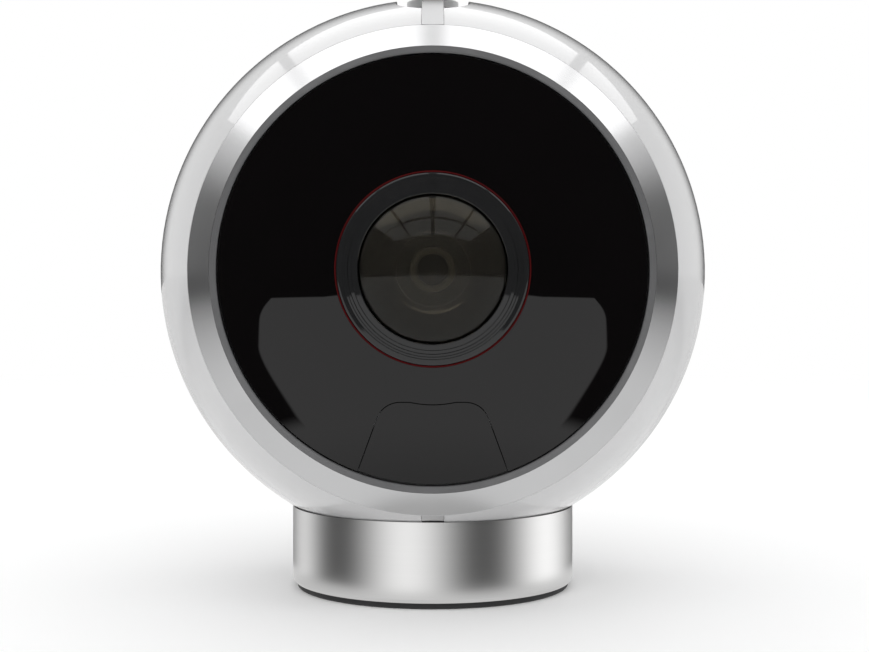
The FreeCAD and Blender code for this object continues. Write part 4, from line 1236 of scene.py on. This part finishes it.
@dataclass
class Studio:
    """Pale floor, soft light and the camera. Metres.

    Soft lamps light the matt surfaces, all but the gaskets and the shells, which the world alone
    lights. What the glossy ones mirror is set apart from them: a window in the ceiling, the lit
    disc of the floor, a dim room, and soft lamps that stand round the base. Only mirrored and
    refracted rays meet it, and some panels show in chosen pieces alone, so what the pieces
    mirror here is the stage's and not a part of their finishes.
    """

    floor_half: float = 6.0
    floor_gap: float = 0.0001
    floor_shade: float = 0.93
    floor_bounce: float = 0.85
    floor_fade: Tuple[float, float] = (0.12, 0.6)
    lit_floor: float = 0.88
    lit_radius: float = 0.425
    fade_radius: float = 0.22
    lit_edge: float = 0.012
    lit_back: Tuple[float, float] = (-0.05, 0.02)
    wedge_edge: float = 0.0015
    near_disc: Tuple[float, float] = (0.063, 0.072)
    inset: float = 0.004
    near_inset: float = 0.019
    near_reach: Tuple[float, float] = (0.042, 0.105)
    far_inset: float = 0.042
    far_reach: Tuple[float, float] = (0.16, 0.4)
    # How deep the painted shadow of the foot is in the floor's mirrored light.
    foot_shade: float = 0.42
    foot_reach: Tuple[float, float] = (0.02, 0.065)
    back_floor: float = 0.75
    back_slant: Tuple[float, float] = (0.4, 0.62)
    window_light: float = 1.1
    window_height: float = 0.8
    window_low: Tuple[float, float] = (-1.0, -0.96)
    window_high: Tuple[float, float] = (1.0, 1.0)
    pane: float = 0.52
    row_bar: float = -0.46
    middle_bar: Tuple[float, float] = (0.026, 0.04)
    side_bar: Tuple[float, float] = (0.02, 0.032)
    cross_bar: Tuple[float, float] = (0.018, 0.03)
    last_bar: Tuple[float, float] = (0.4, 0.42)
    room_light: float = 0.85
    dark_room: float = 0.04
    front_dark: Tuple[float, float] = (-0.12, 0.2)
    side_dark: Tuple[float, float] = (0.28, 0.52)
    side_reach: Tuple[float, float] = (0.35, 0.6)
    back_dark: Tuple[float, float] = (0.8, 0.97)
    soft_room: float = 0.91
    soft_front: float = 1.22
    softbox_light: float = 1.25
    softbox_across: Tuple[float, float] = (0.05, 0.75)
    softbox_along: Tuple[float, float] = (-0.1, 0.7)
    softbox_height: Tuple[float, float] = (0.8, 0.55)
    tent: Tuple[Tuple[float, float], ...] = ((0.0202, 0.0003), (0.028, 0.0003), (0.028, 0.0135))
    tent_sides: int = 96
    tent_low: float = 0.8
    tent_edge: Tuple[float, float] = (0.0005, 0.0015)
    lobes: Tuple[Tuple[float, float, float], ...] = (
        (-82.0, 24.0, 1.25), (-12.5, 34.0, 1.3), (66.0, 36.5, 1.64),
    )
    back_lobe: Tuple[float, float] = (35.0, 0.3)
    camera_distance: float = 0.240
    camera_height: float = 0.04366
    focal_length: float = 66.7
    sensor: float = 36.0
    clip: Tuple[float, float] = (0.01, 50.0)
    shift: Tuple[float, float] = (0.002, -0.0414)

    def build(self) -> None:
        """Make the floor, the light and the camera."""
        nodes, objects = frame["nodes"], bpy.data.objects
        base = [nodes["base_housing"]]
        faces = [nodes["front_glass"], nodes["card_drawer"], objects["rear_glass_dome"]]
        inner_glass = [
            nodes[row["node"]] for row in frame["record"]["subparts"]
            if row["material_slot"] == "lens_glass" and "dome" not in row["node"]
        ]
        gaskets = [objects[f"{side.word}_gasket_ring"] for side in Side]
        shells = [nodes["left_shell"], nodes["right_shell"]]
        self.seen_by(self.floor(), base + inner_glass, "EXCLUDE")
        self.seen_by(self.outer_floor(), base + inner_glass + faces, "EXCLUDE")
        self.seen_by(self.window(), base + inner_glass + faces + gaskets, "EXCLUDE")
        self.seen_by(self.base_lamps(), base, "INCLUDE")
        self.world()
        for name, sign in (("left_softbox", -1.0), ("right_softbox", 1.0)):
            self.seen_by(self.softbox(name, sign), gaskets + shells, "EXCLUDE")
        self.camera()

    @staticmethod
    def seen_by(light: bpy.types.Object, pieces: Sequence[bpy.types.Object], state: str) -> None:
        """Say which pieces receive a panel's light.

        Args:
            light: The panel.
            pieces: The pieces named.
            state: INCLUDE for those alone, EXCLUDE for all others.
        """
        chosen = bpy.data.collections.new(light.name + "_receivers")
        for number, piece in enumerate(pieces):
            chosen.objects.link(piece)
            chosen.collection_objects[number].light_linking.link_state = state
        light.light_linking.receiver_collection = chosen

    @staticmethod
    def ray_is(graph: Graph, kind: str) -> Wire:
        """1 for a ray of a kind such as Glossy, or else 0."""
        return graph.node("ShaderNodeLightPath", output=f"Is {kind} Ray")

    def mirrored(self, graph: Graph) -> Wire:
        """1 for a mirrored or refracted ray, or else 0."""
        return self.ray_is(graph, "Glossy").most(self.ray_is(graph, "Transmission"))

    @staticmethod
    def light_material(name: str) -> Tuple[bpy.types.Material, Graph]:
        """Start a material that is not sampled as a lamp.

        Args:
            name: Its name.

        Returns:
            The material and its empty graph.
        """
        made = bpy.data.materials.new(name)
        made.use_nodes = True
        made.cycles.emission_sampling = "NONE"
        return made, Graph(made.node_tree)

    @staticmethod
    def glow_only(graph: Graph, strength: Wire) -> None:
        """Make a surface that is clear but for the light that it gives.

        Args:
            graph: The material's graph.
            strength: How much light.
        """
        clear = graph.node("ShaderNodeBsdfTransparent", None, {"Color": (1.0, 1.0, 1.0)})
        glow = graph.node("ShaderNodeEmission", None, {"Strength": strength})
        both = graph.node("ShaderNodeAddShader", None, {0: clear, 1: glow})
        graph.node("ShaderNodeOutputMaterial", None, {"Surface": both})

    def staged(
        self, name: str, points: Sequence[Rgb], faces: Sequence[Sequence[int]],
        material: bpy.types.Material,
    ) -> bpy.types.Object:
        """Make a staged panel.

        Args:
            name: Its name.
            points: Its vertices, in metres.
            faces: Vertex numbers of each face.
            material: Its material.

        Returns:
            The panel.
        """
        mesh = bpy.data.meshes.new(name)
        mesh.from_pydata([tuple(point) for point in points], [], list(faces))
        mesh.materials.append(material)
        panel = bpy.data.objects.new(name, mesh)
        bpy.context.scene.collection.objects.link(panel)
        return panel

    def level_panel(
        self, name: str, low: Tuple[float, float], high: Tuple[float, float], height: float,
        material: bpy.types.Material,
    ) -> bpy.types.Object:
        """Make a level rectangle.

        Args:
            name: Its name.
            low: X and Y of one corner.
            high: X and Y of the opposite corner.
            height: Its height above the floor.
            material: Its material.

        Returns:
            The panel.
        """
        (left, front), (right, back) = low, high
        corners = [(left, front), (right, front), (right, back), (left, back)]
        points = [(across, along, height) for across, along in corners]
        return self.staged(name, points, [(0, 1, 2, 3)], material)

    @staticmethod
    def mirror_only(panel: bpy.types.Object) -> bpy.types.Object:
        """Hide a panel from all but glossy and refracted rays, and return it."""
        panel.visible_camera = panel.visible_diffuse = panel.visible_shadow = False
        return panel

    def floor_light(self, graph: Graph) -> Tuple[Wire, Wire]:
        """The floor's light in mirrors, in two shares.

        The whole is a disc. It is even in front of the object. Beside and behind it, it fades as 1
        over the sum of 1 and the square of the distance over a fade radius, and well behind it
        the pale floor goes on. The first share is a wedge before and behind the object, where the
        distance across is less than the distance ahead less an inset, and a small disc under it,
        darkened near the foot by a painted shadow. The inset grows close by and far away. The
        second share is what the whole has beyond that.

        Args:
            graph: The graph to add nodes to.

        Returns:
            The share that the black faces mirror, and the share that other pieces mirror too.
        """
        coords = graph.object_coords()
        across, along, _ = graph.parts(coords)
        distance = graph.node("ShaderNodeVectorMath", {"operation": "LENGTH"}, {0: coords}, "Value")
        ahead = abs(along)
        inset = ahead.below(*self.near_reach) * self.near_inset - self.inset
        inset = inset + ahead.above(*self.far_reach) * self.far_inset
        wedge = (ahead - inset - abs(across)).above(-self.wedge_edge, self.wedge_edge)
        near = distance.below(*self.near_disc)
        fade = ((distance / self.fade_radius) ** 2.0 + 1.0) ** -1.0
        disc = 1.0 - (1.0 - fade) * along.above(*self.lit_back)
        edge = self.lit_radius - self.lit_edge, self.lit_radius + self.lit_edge
        disc = disc * distance.below(*edge)
        # Painted shadow of the foot: the mirrored floor light is darkened close to the foot.
        painted_foot_shadow = 1.0 - distance.below(*self.foot_reach) * self.foot_shade
        first = wedge.most(near) * disc * painted_foot_shadow
        behind = (along / (distance + 0.02)).above(*self.back_slant)
        whole = disc.most(behind * self.back_floor)
        return first, whole - first

    def floor(self) -> bpy.types.Object:
        """White floor that keeps the soft shadow and fades into the white background.

        Returns:
            The floor.
        """
        made, graph = self.light_material("studio_floor")
        coords = graph.object_coords()
        distance = graph.node("ShaderNodeVectorMath", {"operation": "LENGTH"}, {0: coords}, "Value")
        seen = self.ray_is(graph, "Camera")
        shade = graph.blend(seen, (self.floor_bounce,) * 3, (self.floor_shade,) * 3)
        matt = graph.node("ShaderNodeBsdfDiffuse", None, {"Color": shade})
        white = graph.node("ShaderNodeEmission", None, {"Strength": 1.0})
        fade = distance.above(*self.floor_fade) * seen
        far = graph.node("ShaderNodeMixShader", None, {0: fade, 1: matt, 2: white})
        share, _ = self.floor_light(graph)
        glow = share * (self.lit_floor - self.dark_room) + self.dark_room
        lit = graph.node("ShaderNodeEmission", None, {"Strength": glow})
        mixed = {0: self.mirrored(graph), 1: far, 2: lit}
        both = graph.node("ShaderNodeMixShader", None, mixed)
        graph.node("ShaderNodeOutputMaterial", None, {"Surface": both})
        half = self.floor_half
        return self.level_panel("floor", (-half, -half), (half, half), 0.0, made)

    def outer_floor(self) -> bpy.types.Object:
        """The rest of the lit floor, which the black faces do not mirror.

        Returns:
            The panel.
        """
        made, graph = self.light_material("outer_floor_light")
        _, share = self.floor_light(graph)
        self.glow_only(graph, share * self.mirrored(graph) * self.lit_floor)
        half = self.floor_half
        return self.mirror_only(
            self.level_panel("outer_floor", (-half, -half), (half, half), self.floor_gap, made)
        )

    def window(self) -> bpy.types.Object:
        """The ceiling window: square panes between thin bars, seen in gloss alone.

        Bars run along the middle and one pane to each side of it. Crossing bars lie a whole
        number of panes from the first one, and beyond the last one the window has no more.

        Returns:
            The panel.
        """
        made, graph = self.light_material("ceiling_window")
        across, along, _ = graph.parts(graph.object_coords())
        middle = abs(across).above(*self.middle_bar)
        sides = abs(abs(across) - self.pane).above(*self.side_bar)
        turns = ((along - self.row_bar) / self.pane + 4.5).fraction() - 0.5
        rows = abs(turns * self.pane).above(*self.cross_bar).most(along.above(*self.last_bar))
        self.glow_only(graph, middle * sides * rows * self.window_light)
        return self.mirror_only(self.level_panel(
            "ceiling_window", self.window_low, self.window_high, self.window_height, made
        ))

    def base_lamps(self) -> bpy.types.Object:
        """Soft lamps standing close round the base, as a clear ring that glows by direction.

        With a the angle round the base from the front, a lamp at angle c of width w gives its
        strength times a smooth fall from 1 at c to 0 where a is w away from it. The ring's part
        that lies on the floor gives an even light.

        Returns:
            The ring.
        """
        made, graph = self.light_material("base_lamps")
        across, along, up = graph.parts(graph.object_coords())
        turn = graph.node("ShaderNodeMath", {"operation": "ARCTAN2"}, {0: across, 1: along * -1.0})
        turn = turn * (180.0 / math.pi)
        width, strength = self.back_lobe
        total = self.dark_room + (180.0 - abs(turn)).below(0.0, width) * strength
        for centre, width, strength in self.lobes:
            total = total + abs(turn - centre).below(0.0, width) * strength
        total = total + (self.tent_low - total) * up.below(*self.tent_edge)
        self.glow_only(graph, total * self.ray_is(graph, "Glossy"))
        angle = np.linspace(0.0, 2.0 * math.pi, self.tent_sides, endpoint=False)
        rows = [
            np.stack([radius * np.cos(angle), radius * np.sin(angle), angle * 0.0 + height], axis=1)
            for radius, height in self.tent
        ]
        here = np.arange(self.tent_sides)
        beside = (here + 1) % self.tent_sides
        strip = np.stack([here, beside, beside + len(here), here + len(here)], axis=1)
        faces = np.vstack([strip + number * len(here) for number in range(len(rows) - 1)])
        ring = self.staged("base_lamps", np.vstack(rows).tolist(), faces.tolist(), made)
        return self.mirror_only(ring)

    def world(self) -> None:
        """White to the camera, soft light on matt surfaces, and the room in mirrors.

        The room is pale above and dark in front, behind, and low at both sides.
        """
        world = bpy.data.worlds.new("studio_world")
        bpy.context.scene.world = world
        world.use_nodes = True
        graph = Graph(world.node_tree)
        _, along, up = graph.parts(graph.node("ShaderNodeTexCoord", output="Generated"))
        front = along.below(*self.front_dark)
        side = abs(up).below(*self.side_dark) * along.below(*self.side_reach)
        dark = front.most(side).most(along.above(*self.back_dark))
        room = self.room_light - dark * (self.room_light - self.dark_room)
        soft = self.soft_room - front * (self.soft_room - self.soft_front)
        seen, gloss = self.ray_is(graph, "Camera"), self.mirrored(graph)
        strength = seen + (1.0 - seen) * (gloss * room + (1.0 - gloss) * soft)
        values = {"Color": (1.0, 1.0, 1.0), "Strength": strength}
        light = graph.node("ShaderNodeBackground", None, values)
        graph.node("ShaderNodeOutputWorld", None, {"Surface": light})

    def softbox(self, name: str, sign: float) -> bpy.types.Object:
        """A large soft lamp overhead on one side, for the matt surfaces.

        Args:
            name: Its name.
            sign: -1 for the left and 1 for the right.

        Returns:
            The lamp.
        """
        made = bpy.data.materials.new(name)
        made.use_nodes = True
        graph = Graph(made.node_tree)
        light = graph.node("ShaderNodeEmission", None, {"Strength": self.softbox_light})
        graph.node("ShaderNodeOutputMaterial", None, {"Surface": light})
        near, far = self.softbox_along
        (inner, outer), (top, low) = self.softbox_across, self.softbox_height
        corners = [
            (sign * inner, near, top), (sign * inner, far, top),
            (sign * outer, far, low), (sign * outer, near, low),
        ]
        panel = self.staged(name, corners, [(0, 1, 2, 3)], made)
        panel.visible_camera = panel.visible_glossy = panel.visible_transmission = False
        return panel

    def camera(self) -> None:
        """The camera, level and straight in front, framed as in the photograph."""
        data = bpy.data.cameras.new("camera")
        data.sensor_width = self.sensor
        data.lens = self.focal_length
        data.shift_x, data.shift_y = self.shift
        data.clip_start, data.clip_end = self.clip
        made = bpy.data.objects.new("camera", data)
        made.location = (0.0, -self.camera_distance, self.camera_height)
        made.rotation_euler = (math.pi / 2.0, 0.0, 0.0)
        bpy.context.scene.collection.objects.link(made)
        bpy.context.scene.camera = made
        bpy.context.scene.view_settings.view_transform = "Standard"


def main() -> None:
    """Build the looks in order."""
    logging.basicConfig(level=logging.INFO, format="%(message)s")
    CadNodes().build()
    for side in Side:
        LensFace(side).build()
    TopButton().build()
    Foot().build()
    Studio().build()


if __name__ == "__main__":
    main()
